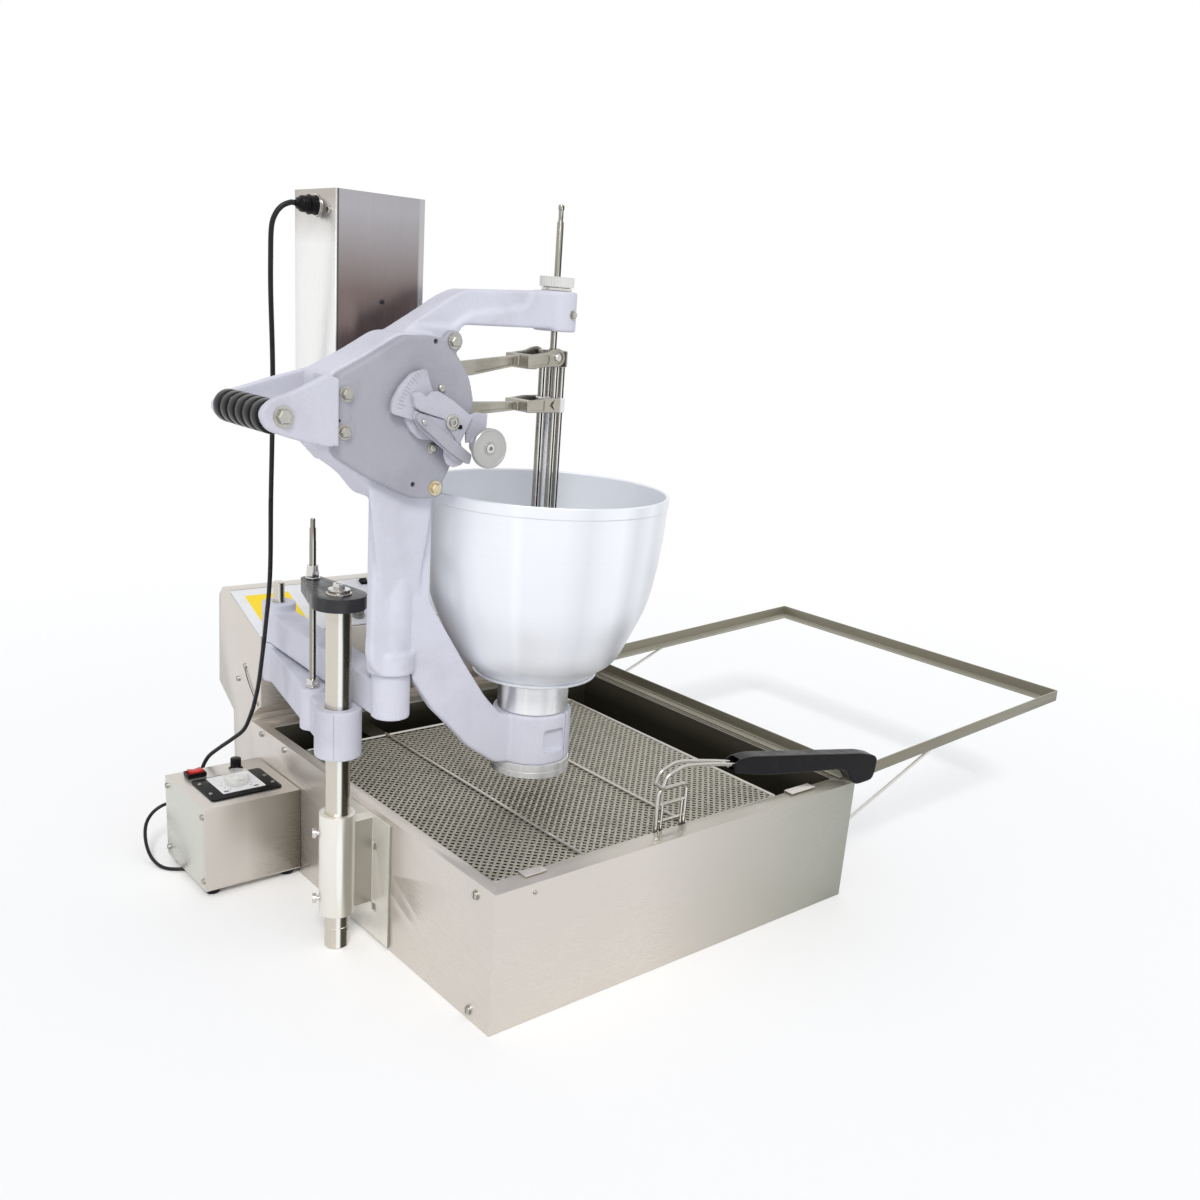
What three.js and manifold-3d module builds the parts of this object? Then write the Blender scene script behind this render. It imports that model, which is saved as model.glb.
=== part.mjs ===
// A donut maker: an open fryer with a lift-out screen and a hang-on drain frame, and a
// motor-driven batter depositor that swings over it on two folding arms.
//
// Millimetres, +Z up, +X to the right, +Y to the back. The origin is the centre of the
// fryer's base, and the fryer, the arm column and the control box stand on Z = 0.
import * as THREE from "three";
import { mergeVertices } from "three/addons/utils/BufferGeometryUtils.js";
import Module from "manifold-3d";

const wasm = await Module();
wasm.setup();

// ---------------------------------------------------------------- driving dimensions

const FIT = 0.3; // gap between two pieces that touch
const ROUND = 36; // sides of the large round pieces that run in one another
const SHEET = 2; // sheet steel of the casings
const RAD = Math.PI / 180;

const fryer = { width: 664, depth: 666, height: 190, rimFront: 28, rimSide: 16, rimBack: 36 };
const tank = { depth: 148, lip: 9, ledgeLength: 92, ledgeWidth: 30, ledgeDrop: 20 };
const heater = { tube: 4.5, height: 75, loops: 3, margin: 70, flange: 46 };
const screen = {
  insetX: 45, insetY: 52, width: fryer.width - 164, depth: fryer.depth - 168, height: 172, wire: 3,
    field: 2,
  stiffeners: [129, 314], tabs: [[55, 33], [538, 52]], archSpan: 51, archRise: 78, archWire: 3,
};
const screenHandle = {
  x: 283, y: 35, turn: -7.4, wire: 2.6, spread: 8, rise: 25, shoulder: 17,
  gripStart: 116, gripEnd: 396, gripHeight: 25, gripWidth: 23, hookDrop: 42, slope: 7.1,
};
const head = { wall: 2.5, lowerDepth: 68, panelFront: -37, panelBack: 74, panelLow: 337, panelHigh: 383 };
const knob = { x: 174.8, along: 23, radius: 11, height: 15 };
const powerSwitch = { x: 228, along: 108, length: 20, width: 13, rise: 5 };

const drain = { length: 576.5, height: 2.7, tilt: 3.37, web: 20, flange: 22, sheet: 2,
  depth: fryer.depth - 5 };
const strut = { wire: 3, foot: 122, reach: 202, inset: 8 };

const column = { x: -50, y: 289, radius: 16, height: 490, capRadius: 14, capHeight: 11 };
const bracket = { low: 50.4, high: 194, radius: 23.5, plateLow: 4, plateHigh: 183, plateWidth: 108 };
const topPlate = { low: 471, high: 488, bigEnd: 34, smallEnd: 15 };
const rod = { radius: 4.5, distance: 85, direction: 85, low: 300, high: 566, nutRadius: 9 };
const lowerLink = { length: 309.2, direction: 78.32, low: 275.5, high: 341, width: 36, barLow: 283,
  barHigh: 335 };
const upperLink = { length: 365, direction: -93.66, high: 387, width: 40, bossHigh: 400 };
const linkPin = { radius: 8.5, high: 430 };
const hingePin = { radius: 12, high: 520 };
const boss = { sleeve: 30, pivot: 24.5, hinge: 24 };

const post = { front: -20, web: 16, ribBack: 18, hinge: 25, hingeHigh: 535 };
const collar = { radius: 54, low: 249.7, high: 318.3 };
const nozzle = { x: 223.7, bore: 38, radius: 44, ring: 54.5, low: 229, neck: 48.5, high: 367.7 };
const gearCase = { front: -40, back: 20, boss: 60, wall: 8, cover: 15 };
const arm = { halfWidth: 22, noseRadius: 26.5, noseLow: 816, noseHigh: 864 };
const hopper = { wall: 3, flangeRadius: 79, flange: 4, rimHigh: 620, rimBand: 14, rimRadius: 163.2 };
const grip = { x: -178, z: 716, radius: 18, ridge: 2, ridges: 5 };
const motorBox = { left: -47, right: 68, back: 162.5, low: 640, high: 954, chamfer: 26 };
const motor = { radius: 33, low: 790, high: 935, gearWidth: 74, gearDepth: 60, gearLow: 690 };
const plug = { z: 936, y: 107.5, radius: 9, length: 26, neck: 4.5 };

const piston = { radius: nozzle.bore - 0.4, low: 300, thick: 20, rods: 4, rodRadius: 3.25, pitch: 13.2,
  turn: 69.6 };
const guideRod = { radius: 4.2, high: 964.6 };
const guideNut = { radius: 21.7, low: 864.3, high: 881, ribs: 24 };
const upperCollar = { low: 773, high: 793, radius: 19 };
const cutter = { collarLow: 717, collarHigh: 735, tube: 6, discRadius: nozzle.bore - 1.5, discLow: 230.5,
  disc: 6 };
const upperPivot = { x: 35, z: 761, end: 783, boss: 12 };
const lowerPivot = { x: 50, z: 720, end: 725, boss: 10 };
const lever = { thick: 10, height: 16, pin: 5, cheek: 5.5, forkLength: 38 };
const crank = { x: 29, z: 713, radius: 24, shaft: 8, front: -36, back: -16 };
const stroke = { pin: 5, plate: 7, bar: 10, knobX: 67, knobZ: 685, knobRadius: 22.9, knobThick: 7 };

const box = { x: -146, y: 495.8, size: 146, low: 9.6, high: 137.4, feet: 11, footInset: 16 };
const panel = { x: 20, y: 19, width: 107, depth: 82, thick: 2.5 };
const dial = { x: 73, y: 60, radius: 18.5, height: 17 };
const panelKnob = { x: 98, y: 120, radius: 8, height: 17 };
const rocker = { x: 36, y: 122, length: 20, width: 13, rise: 7, frame: 3, pocket: 1.2 };
const cord = { motor: 3, mains: 2.6 };
const glandLength = 26;
const coil = { x: 178, y: 850, inner: 23.6, outer: 34.4, height: 15.8 };
const mainsPlug = { x: 26.4, width: 38, length: 44, height: 26, pin: 6, pinThick: 1.6, pinLength: 18 };

// places worked out from the sizes above
const LEFT = -fryer.width / 2;
const FRONT = -fryer.depth / 2;
const BACK = fryer.depth / 2;
const RIGHT = fryer.width / 2;
const columnX = LEFT + column.x;
const columnY = FRONT + column.y;

// ---------------------------------------------------------------- shape helpers

// A three.js geometry as a solid that can be joined and cut.
function solid(geometry) {
  geometry.deleteAttribute("normal");
  geometry.deleteAttribute("uv");
  const merged = mergeVertices(geometry, 1e-4);
  const index = merged.index.array;
  const triangles = [];
  for (let i = 0; i < index.length; i += 3) {
    const [a, b, c] = [index[i], index[i + 1], index[i + 2]];
    if (a !== b && b !== c && c !== a) triangles.push(a, b, c);
  }
  return new wasm.Manifold(new wasm.Mesh({
    numProp: 3,
    vertProperties: Float32Array.from(merged.attributes.position.array),
    triVerts: Uint32Array.from(triangles),
  }));
}

// A solid back as a three.js geometry.
function surface(body) {
  const mesh = body.getMesh();
  const geometry = new THREE.BufferGeometry();
  geometry.setAttribute("position", new THREE.BufferAttribute(mesh.vertProperties, 3));
  geometry.setIndex(new THREE.BufferAttribute(mesh.triVerts, 1));
  geometry.computeVertexNormals();
  return geometry;
}

// The first solid joined with all the others.
const join = (first, ...others) => others.reduce((sum, other) => sum.add(other), first);

// The first solid with all the others cut away.
const cut = (first, ...others) => others.reduce((rest, other) => rest.subtract(other), first);

// A block between two limits on each axis.
function block([x0, x1], [y0, y1], [z0, z1]) {
  const geometry = new THREE.BoxGeometry(x1 - x0, y1 - y0, z1 - z0);
  geometry.translate((x0 + x1) / 2, (y0 + y1) / 2, (z0 + z1) / 2);
  return solid(geometry);
}

// An upright round bar.
function pillar(radius, z0, z1, x = 0, y = 0, sides = 24) {
  const geometry = new THREE.CylinderGeometry(radius, radius, z1 - z0, sides);
  geometry.rotateX(Math.PI / 2);
  geometry.translate(x, y, (z0 + z1) / 2);
  return solid(geometry);
}

// A round bar along Y, from y0 to y1.
function axle(radius, x, z, y0, y1, sides = 24) {
  const geometry = new THREE.CylinderGeometry(radius, radius, y1 - y0, sides);
  geometry.translate(x, (y0 + y1) / 2, z);
  return solid(geometry);
}

// A body turned about Z: the profile runs counter-clockwise in radius and height.
function turned(profile, sides = 36, x = 0, y = 0) {
  const geometry = new THREE.LatheGeometry(profile.map(([r, z]) => new THREE.Vector2(r, z)), sides);
  geometry.rotateX(Math.PI / 2);
  geometry.translate(x, y, 0);
  return solid(geometry);
}

// An outline through the points, each corner rounded by up to the given radius.
function outline(points, radius = 0) {
  const shape = new THREE.Shape();
  points.forEach((point, i) => {
    const corner = new THREE.Vector2(...point);
    const before = new THREE.Vector2(...points.at(i - 1)).sub(corner);
    const after = new THREE.Vector2(...points[(i + 1) % points.length]).sub(corner);
    const entry = before.setLength(Math.min(radius, before.length() / 2)).add(corner);
    const exit = after.setLength(Math.min(radius, after.length() / 2)).add(corner);
    if (i === 0) shape.moveTo(entry.x, entry.y);
    else shape.lineTo(entry.x, entry.y);
    if (radius > 0) shape.quadraticCurveTo(corner.x, corner.y, exit.x, exit.y);
  });
  shape.closePath();
  return shape;
}

// The outline of a drop: a large round end at the origin and a small one along +X.
function drop(bigEnd, smallEnd, distance) {
  const tangent = Math.acos((bigEnd - smallEnd) / distance);
  const shape = new THREE.Shape();
  shape.absarc(0, 0, bigEnd, tangent, 2 * Math.PI - tangent, false);
  shape.absarc(distance, 0, smallEnd, -tangent, tangent, false);
  shape.closePath();
  return shape;
}

// The polygon moved inwards by a distance: its points run counter-clockwise.
function inset(points, distance) {
  return points.map((point, i) => {
    const corner = new THREE.Vector2(...point);
    const arriving = corner.clone().sub(new THREE.Vector2(...points.at(i - 1))).normalize();
    const leaving = new THREE.Vector2(...points[(i + 1) % points.length]).sub(corner).normalize();
    const turn = 1 + arriving.dot(leaving);
    const miter = new THREE.Vector2(-arriving.y - leaving.y, arriving.x + leaving.x);
    return miter.multiplyScalar(distance / turn).add(corner).toArray();
  });
}

const extruded = (shape, depth, segments = 3) =>
  new THREE.ExtrudeGeometry(shape, { depth, bevelEnabled: false, curveSegments: segments });

// A plan outline (x, y) raised from z0 to z1.
function plate(shape, z0, z1, segments) {
  const geometry = extruded(shape, z1 - z0, segments);
  geometry.translate(0, 0, z0);
  return solid(geometry);
}

// A front outline (x, z) carried back from y0 to y1.
function slab(shape, y0, y1, segments) {
  const geometry = extruded(shape, y1 - y0, segments);
  geometry.rotateX(Math.PI / 2);
  geometry.translate(0, y1, 0);
  return solid(geometry);
}

// A side outline (y, z) carried across from x0 to x1.
function section(shape, x0, x1) {
  const geometry = extruded(shape, x1 - x0);
  const basis = [new THREE.Vector3(0, 1, 0), new THREE.Vector3(0, 0, 1), new THREE.Vector3(1, 0, 0)];
  geometry.applyMatrix4(new THREE.Matrix4().makeBasis(...basis));
  geometry.translate(x0, 0, 0);
  return solid(geometry);
}

// A round wire along a smooth curve through the points.
function wire(radius, points, steps, sides = 8, tension = 0.5) {
  const section = new THREE.Shape();
  for (let i = 0; i < sides; i++) {
    const angle = (2 * Math.PI * i) / sides;
    const [x, y] = [radius * Math.cos(angle), radius * Math.sin(angle)];
    if (i === 0) section.moveTo(x, y);
    else section.lineTo(x, y);
  }
  section.closePath();
  const route = points.map((point) => new THREE.Vector3(...point));
  const extrudePath = new THREE.CatmullRomCurve3(route, false, "catmullrom", tension);
  return solid(new THREE.ExtrudeGeometry(section, { steps, extrudePath, bevelEnabled: false }));
}

// A straight round bar between two points.
function bar(radius, from, to, sides = 10) {
  const [start, end] = [new THREE.Vector3(...from), new THREE.Vector3(...to)];
  const along = end.clone().sub(start);
  const geometry = new THREE.CylinderGeometry(radius, radius, along.length(), sides);
  const turn = new THREE.Quaternion().setFromUnitVectors(new THREE.Vector3(0, 1, 0), along.normalize());
  geometry.applyQuaternion(turn);
  geometry.translate(...start.add(end).multiplyScalar(0.5).toArray());
  return solid(geometry);
}

// ---------------------------------------------------------------- materials

const finish = (color, roughness, metalness) => new THREE.MeshStandardMaterial({ color, roughness,
  metalness });
const steel = finish(0xb4aea3, 0.38, 1);
const brightSteel = finish(0xcfccc4, 0.25, 1);
const darkSteel = finish(0x7d7768, 0.45, 1);
const casting = finish(0xa9a9b8, 0.55, 0.35);
const aluminium = finish(0xd5dbe6, 0.3, 0.9);
const blackPlastic = finish(0x1b1b1e, 0.5, 0);
const rubber = finish(0x121212, 0.8, 0);
const clearPlastic = finish(0xd9d9d2, 0.15, 0);
const redPlastic = finish(0xb5221c, 0.35, 0);
const greyPlastic = finish(0x8c8c88, 0.45, 0);
const machined = finish(0xc9c8c6, 0.22, 1);

// ---------------------------------------------------------------- groups

const donutMaker = new THREE.Group();

function group(parent, x = 0, y = 0, z = 0, turnZ = 0) {
  const made = new THREE.Group();
  made.position.set(x, y, z);
  made.rotation.z = turnZ * RAD;
  parent.add(made);
  return made;
}

// One named sub-part in its group.
function piece(name, body, material, parent) {
  const mesh = new THREE.Mesh(surface(body), material);
  mesh.name = name;
  parent.add(mesh);
}

// ---------------------------------------------------------------- fryer

function buildFryer(parent) {
  const mouthX = [LEFT + fryer.rimSide, RIGHT - fryer.rimSide];
  const mouthY = [FRONT + fryer.rimFront, BACK - fryer.rimBack];
  const grow = ([low, high], by) => [low - by, high + by];
  const casing = cut(
    block([LEFT, RIGHT], [FRONT, BACK], [0, fryer.height]),
    block(grow([LEFT, RIGHT], -SHEET), grow([FRONT, BACK], -SHEET), [SHEET, fryer.height - SHEET]),
    block(mouthX, mouthY, [fryer.height - 2 * SHEET, fryer.height + SHEET]),
  );
  piece("fryer_casing", casing, steel, parent);

  const lipTop = fryer.height - SHEET - FIT;
  const tankFloor = lipTop - tank.depth;
  const lip = tank.lip;
  const rearWall = mouthY[1] - SHEET;
  const ledgeTop = screen.height - screen.wire - FIT;
  const shell = cut(
    join(
      block(mouthX, mouthY, [tankFloor - SHEET, lipTop]),
      block(grow(mouthX, lip), grow(mouthY, lip), [lipTop - SHEET, lipTop]),
    ),
    block(grow(mouthX, -SHEET), grow(mouthY, -SHEET), [tankFloor, lipTop + SHEET]),
  );
  const ledges = [0.25, 0.75].map((share) => {
    const x = LEFT + screen.insetX + screen.width * share;
    const side = [x - tank.ledgeWidth / 2, x + tank.ledgeWidth / 2];
    return block(side, [rearWall - tank.ledgeLength, rearWall + 1], [ledgeTop - SHEET, ledgeTop]);
  });
  piece("oil_tank", join(shell, ...ledges), darkSteel, parent);

  // a flat serpentine over the tank floor, both ends on a flange at the rear wall
  const high = tankFloor + heater.height / 2;
  const nearY = mouthY[0] + heater.margin;
  const farY = rearWall - heater.margin;
  const runs = 2 * heater.loops;
  const pitch = (mouthX[1] - mouthX[0] - 2 * heater.margin) / (runs - 1);
  const route = [[mouthX[0] + heater.margin, rearWall - FIT - 3, high]];
  for (let run = 0; run < runs; run++) {
    const x = mouthX[0] + heater.margin + run * pitch;
    const turnBack = run === runs - 1 ? rearWall - FIT - 3 : farY;
    const ends = run % 2 === 0 ? [farY, nearY] : [nearY, turnBack];
    route.push([x, ends[0], high], [x, (ends[0] + ends[1]) / 2, high], [x, ends[1], high]);
  }
  const flanges = [0, runs - 1].map((run) => {
    const x = mouthX[0] + heater.margin + run * pitch;
    const side = [x - heater.flange / 2, x + heater.flange / 2];
    return block(side, [rearWall - FIT - 5, rearWall - FIT], [high - 14, high + 14]);
  });
  piece("heating_element", join(wire(heater.tube, route, 64, 6, 0.25), ...flanges), darkSteel, parent);
}

// ---------------------------------------------------------------- screen and its handle

function buildScreen(parent) {
  const x0 = LEFT + screen.insetX;
  const x1 = x0 + screen.width;
  const y0 = FRONT + screen.insetY;
  const y1 = y0 + screen.depth;
  const z = screen.height;
  const field = block([x0, x1], [y0, y1], [z - screen.field / 2, z + screen.field / 2]);
  const corners = [[x0, y0, z], [x1, y0, z], [x1, y1, z], [x0, y1, z]];
  const frame = corners.map((corner, i) => bar(screen.wire, corner, corners[(i + 1) % 4], 6));
  const posts = corners.map(([x, y]) => pillar(screen.wire, z - screen.wire, z + screen.wire, x, y, 6));
  const stiffeners = screen.stiffeners.map((at) => bar(screen.wire, [x0 + at, y0, z], [x0 + at, y1, z], 6));

  // straps from the screen's front edge up and over the fryer's front rim
  const rimTop = fryer.height + FIT;
  const rimEdge = FRONT + fryer.rimFront + FIT + SHEET;
  const straps = screen.tabs.flatMap(([at, width]) => {
    const side = [LEFT + at, LEFT + at + width];
    return [
      block(side, [rimEdge - 14, rimEdge + 2], [rimTop, rimTop + 2]),
      block(side, [rimEdge, rimEdge + 2], [z - 2, rimTop + 2]),
      block(side, [rimEdge, y0 + 2], [z - 2, z]),
    ];
  });

  // the arch that carries the handle, on a foot bar from the screen's front edge
  const archX = LEFT + screenHandle.x;
  const archY = FRONT + screenHandle.y;
  const top = z + screen.archRise;
  const r = screen.archWire;
  const feet = [archX, archX + screen.archSpan];
  const arch = join(
    ...feet.map((x) => pillar(r, z - r, top, x, archY, 8)),
    ...feet.map((x) => bar(r, [x, archY, z], [x, y0, z], 8)),
    bar(r, [feet[0] - r, archY, top - r], [feet[1] + r, archY, top - r], 8),
    bar(r, [feet[0], archY, top - 26], [feet[1], archY, top - 26], 8),
  );
  const body = join(field, ...frame, ...posts, ...stiffeners, ...straps, arch);
  piece("fry_screen", body, brightSteel, parent);

  // the handle turns on a cross pin that rests on the arch's left shoulder
  const hinge = group(parent, archX, archY, top + FIT + screenHandle.wire, screenHandle.turn);
  const w = screenHandle.wire;
  const start = screenHandle.gripStart;
  const fall = Math.tan(screenHandle.slope * RAD);
  const gripZ = (x) => screenHandle.rise - 12 - (x - start) * fall;
  const rails = [-1, 1].map((side) => {
    const y = side * screenHandle.spread;
    return wire(w, [
      [0, y, 0],
      [5, y, 14],
      [screenHandle.shoulder, y, screenHandle.rise - 4],
      [screenHandle.shoulder + 20, y, screenHandle.rise + 1],
      [start - 30, y * 0.8, gripZ(start) + 7],
      [start + 30, y * 0.6, gripZ(start + 30)],
    ], 14, 6);
  });
  const crossPin = bar(w, [0, -screenHandle.spread - w, 0], [0, screenHandle.spread + w, 0]);
  const tie = bar(w, [start - 8, -8, gripZ(start - 8) + 1], [start - 8, 8, gripZ(start - 8) + 1]);
  piece("screen_handle_wire", join(crossPin, tie, ...rails), brightSteel, hinge);

  const half = screenHandle.gripHeight / 2;
  const end = screenHandle.gripEnd;
  const gripOutline = outline([
    [start, gripZ(start) - half + 3],
    [start + 60, gripZ(start + 60) - half - 2],
    [end - 74, gripZ(end - 74) - half + 2],
    [end - 60, gripZ(end - 60) - half - 1],
    [end - 42, gripZ(end) - screenHandle.hookDrop + 10],
    [end - 4, gripZ(end) - screenHandle.hookDrop + 14],
    [end, gripZ(end) + half - 4],
    [end - 30, gripZ(end - 30) + half + 1],
    [start + 30, gripZ(start + 30) + half + 2],
    [start, gripZ(start) + half - 5],
  ], 10);
  const gripBody = cut(
    slab(gripOutline, -screenHandle.gripWidth / 2, screenHandle.gripWidth / 2),
    block([start - 1, start + 34], [-8.5, 8.5], [gripZ(start) - 9, gripZ(start) + 8]),
  );
  piece("screen_handle_grip", gripBody, blackPlastic, hinge);
}

// ---------------------------------------------------------------- head behind the fryer

// A tilting switch in a pocket of the face it sits on.
function rockerBody(length, width, rise, below) {
  const side = outline([[-length / 2, -below], [length / 2, -below], [length / 2, rise], [0, rise - 2],
    [-length / 2, rise]]);
  return section(side, -width / 2, width / 2);
}

function buildHead(parent) {
  const panelGap = SHEET + 2 * FIT;
  const slope = Math.atan2(head.panelHigh - head.panelLow, head.panelBack - head.panelFront);
  const under = panelGap / Math.cos(slope);
  const profile = [
    [BACK + FIT, 3],
    [BACK + head.lowerDepth, 3],
    [BACK + head.lowerDepth, 187],
    [BACK + 123, 221],
    [BACK + 116, 368],
    [BACK + 102, head.panelHigh],
    [BACK + head.panelBack + 2, head.panelHigh],
    [BACK + head.panelBack + 2, head.panelHigh - under],
    [BACK + head.panelFront, head.panelLow - under],
    [BACK - 35, 224],
    [BACK + FIT, 200],
  ];
  const mouth = outline([
    [BACK + head.panelFront + 8, head.panelLow - 30],
    [BACK + head.panelBack - 8, head.panelHigh - 30],
    [BACK + head.panelBack - 8, head.panelHigh + 10],
    [BACK + head.panelFront + 8, head.panelHigh],
  ]);
  const wall = head.wall;
  const casing = cut(
    section(outline(profile), LEFT, RIGHT),
    section(outline(inset(profile, wall)), LEFT + wall, RIGHT - wall),
    section(mouth, LEFT + 8, RIGHT - 8),
  );
  piece("head_casing", casing, steel, parent);

  // the sloping panel, with its controls, lies in a turned group of its own
  const tilted = group(parent, 0, BACK + head.panelFront, head.panelLow);
  tilted.rotation.x = slope;
  const length = (head.panelBack - head.panelFront) / Math.cos(slope);
  const pocket = 1.2;
  const knobX = LEFT + knob.x;
  const switchX = LEFT + powerSwitch.x;
  const lid = cut(
    block([LEFT + 0.5, RIGHT - 0.5], [1, length - 1], [-SHEET, 0]),
    block(
      [switchX - powerSwitch.width / 2 - FIT, switchX + powerSwitch.width / 2 + FIT],
      [powerSwitch.along - 5 - pocket, powerSwitch.along + 5 + pocket],
      [-SHEET - 1, 1],
    ),
  );
  piece("head_panel", lid, finish(0xe4e6ea, 0.4, 0.1), tilted);
  const shaft = group(tilted, knobX, knob.along, 0);
  piece("thermostat_knob", turned([
    [0, FIT], [knob.radius, FIT], [knob.radius, 4], [knob.radius * 0.8, 6],
    [knob.radius * 0.72, knob.height], [0, knob.height],
  ], 24), greyPlastic, shaft);
  const pivot = group(tilted, switchX, powerSwitch.along, 0);
  piece("power_switch", rockerBody(10, powerSwitch.width, powerSwitch.rise, 1.5), blackPlastic, pivot);
}

// ---------------------------------------------------------------- drain frame

function buildDrain(parent) {
  const hookZ = fryer.height + FIT;
  const depth = drain.depth;
  const [web, flange, sheet] = [drain.web, drain.flange, drain.sheet];
  const length = drain.length;
  const outer = [[0, length], [0, depth], [0, web]];
  const rails = cut(
    block(...outer),
    block([sheet, length - sheet], [sheet, depth - sheet], [sheet, web + 1]),
    block([flange, length - flange], [flange, depth - flange], [-1, web]),
  ).rotate([0, -drain.tilt, 0]).translate([RIGHT + 2, FRONT, fryer.height + drain.height]);
  const skirt = block([RIGHT + FIT, RIGHT + FIT + 3], [FRONT + 20, FRONT + depth - 20],
    [hookZ - 12, hookZ + drain.height + 2]);
  const lip = block([RIGHT - 12, RIGHT + FIT + 3], [FRONT + 20, BACK - fryer.rimBack - 30],
    [hookZ, hookZ + 2]);
  piece("drain_frame", join(rails, skirt, lip), steel, parent);

  // a wire bail: two legs under the frame's side rails and a cross bar on the fryer's side
  const topX = RIGHT + strut.reach;
  const frameLow = fryer.height + drain.height + (strut.reach - 2) * Math.tan(drain.tilt * RAD);
  const topZ = frameLow - strut.wire - 1.2;
  const low = [RIGHT + FIT + strut.wire + 0.2, strut.foot];
  const sides = [FRONT + strut.inset, FRONT + depth - strut.inset];
  const bail = join(
    ...sides.map((y) => bar(strut.wire, [low[0], y, low[1]], [topX, y, topZ])),
    ...sides.map((y, i) => bar(strut.wire, [topX, y - 3 + 3 * i, topZ], [topX, y + 3 * i, topZ])),
    bar(strut.wire, [low[0], sides[0] - 2, low[1]], [low[0], sides[1] + 2, low[1]]),
  );
  piece("drain_strut", bail, brightSteel, parent);
}

// ---------------------------------------------------------------- column

function buildColumn(parent) {
  const at = group(parent, columnX, columnY, 0);
  const reach = LEFT - columnX;
  const half = bracket.plateWidth / 2;
  const bore = column.radius + FIT;
  const slotHigh = [bracket.plateLow + 44.5, bracket.plateLow + 133.7];
  const holder = cut(
    join(
      pillar(bracket.radius, bracket.low, bracket.high),
      block([reach - 3 - FIT, reach - FIT], [-half, half], [bracket.plateLow, bracket.plateHigh]),
      block([bracket.radius - 8, reach - 2], [-10, 10], [bracket.low + 4, bracket.plateHigh - 4]),
    ),
    pillar(bore, bracket.low - 1, bracket.high + 1),
    ...slotHigh.map((z) => block([reach - 5, reach + 1], [-22, -12.6], [z - 6, z + 6])),
  );
  piece("column_bracket", holder, steel, at);
  piece("column", pillar(column.radius, 0, column.height), brightSteel, at);
  const capLow = column.height + FIT;
  piece("column_cap_bolt", turned([
    [0, capLow], [column.capRadius, capLow], [column.capRadius, capLow + 4],
    [column.capRadius * 0.6, capLow + column.capHeight - 2], [0, capLow + column.capHeight],
  ], 12), brightSteel, at);
  return at;
}

// ---------------------------------------------------------------- swinging links

function buildLinks(at) {
  const rodGroup = group(at, 0, 0, 0, rod.direction);
  const bore = column.radius + FIT;
  const rodBore = rod.radius + FIT;
  const top = cut(
    plate(drop(topPlate.bigEnd, topPlate.smallEnd, rod.distance), topPlate.low, topPlate.high, 10),
    pillar(bore, topPlate.low - 1, topPlate.high + 1),
    pillar(rodBore, topPlate.low - 1, topPlate.high + 1, rod.distance, 0, 16),
  );
  piece("top_plate", top, blackPlastic, rodGroup);
  const nut = (low, high) => cut(
    pillar(rod.nutRadius, low, high, rod.distance, 0, 6),
    pillar(rodBore, low - 1, high + 1, rod.distance, 0, 16),
  );
  piece("height_nut", nut(topPlate.high + FIT, topPlate.high + 18), brightSteel, rodGroup);

  const lower = group(at, 0, 0, 0, lowerLink.direction);
  const slip = FIT;
  const linkTop = lowerLink.high - slip;
  const padX = rod.distance * Math.cos((rod.direction - lowerLink.direction) * RAD);
  const padY = rod.distance * Math.sin((rod.direction - lowerLink.direction) * RAD);
  const halfBar = lowerLink.width / 2;
  const pinBore = linkPin.radius + FIT;
  const lowerBody = cut(
    join(
      pillar(boss.sleeve, lowerLink.low, linkTop),
      block([0, lowerLink.length], [-halfBar, halfBar], [lowerLink.barLow, lowerLink.barHigh]),
      pillar(boss.pivot, lowerLink.low + 5, linkTop, lowerLink.length, 0),
      pillar(17, lowerLink.barLow, linkTop, padX, padY, 24),
    ),
    pillar(bore, lowerLink.low - 1, linkTop + 1),
    pillar(pinBore, lowerLink.low + 12, linkTop + 1, lowerLink.length, 0, 24),
    pillar(rodBore, rod.low - FIT, linkTop + 1, padX, padY, 16),
  );
  piece("lower_link", lowerBody, casting, lower);
  piece("height_rod", pillar(rod.radius, rod.low, rod.high, padX, padY, 16), brightSteel, lower);
  const lockNut = cut(
    pillar(rod.nutRadius, lowerLink.high, lowerLink.high + 11, padX, padY, 6),
    pillar(rodBore, lowerLink.high - 1, lowerLink.high + 12, padX, padY, 16),
  );
  piece("height_lock_nut", lockNut, brightSteel, lower);
  const firstPivot = group(lower, lowerLink.length, 0, 0, upperLink.direction - lowerLink.direction);
  const upperLow = lowerLink.high + slip;
  const pin = join(
    pillar(linkPin.radius, lowerLink.low + 12 + FIT, linkPin.high, 0, 0, 24),
    pillar(linkPin.radius + 3, upperLink.bossHigh + FIT, upperLink.bossHigh + 6, 0, 0, 24),
  );
  piece("link_pin", pin, casting, firstPivot);

  const halfUpper = upperLink.width / 2;
  const upperBody = cut(
    join(
      block([0, upperLink.length], [-halfUpper, halfUpper], [upperLow, upperLink.high]),
      pillar(boss.pivot, upperLow, upperLink.bossHigh),
      pillar(boss.hinge, upperLow, upperLink.bossHigh, upperLink.length, 0),
    ),
    pillar(pinBore, upperLow - 1, upperLink.bossHigh + 1, 0, 0, 24),
    pillar(hingePin.radius + FIT, upperLow + 8, upperLink.bossHigh + 1, upperLink.length, 0, 24),
  );
  piece("upper_link", upperBody, casting, firstPivot);
  const secondPivot = group(firstPivot, upperLink.length, 0, 0, -upperLink.direction);
  piece("hinge_pin", pillar(hingePin.radius, upperLow + 8 + FIT, hingePin.high, 0, 0, 24), machined,
    secondPivot);
  return secondPivot;
}

// ---------------------------------------------------------------- depositor

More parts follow.
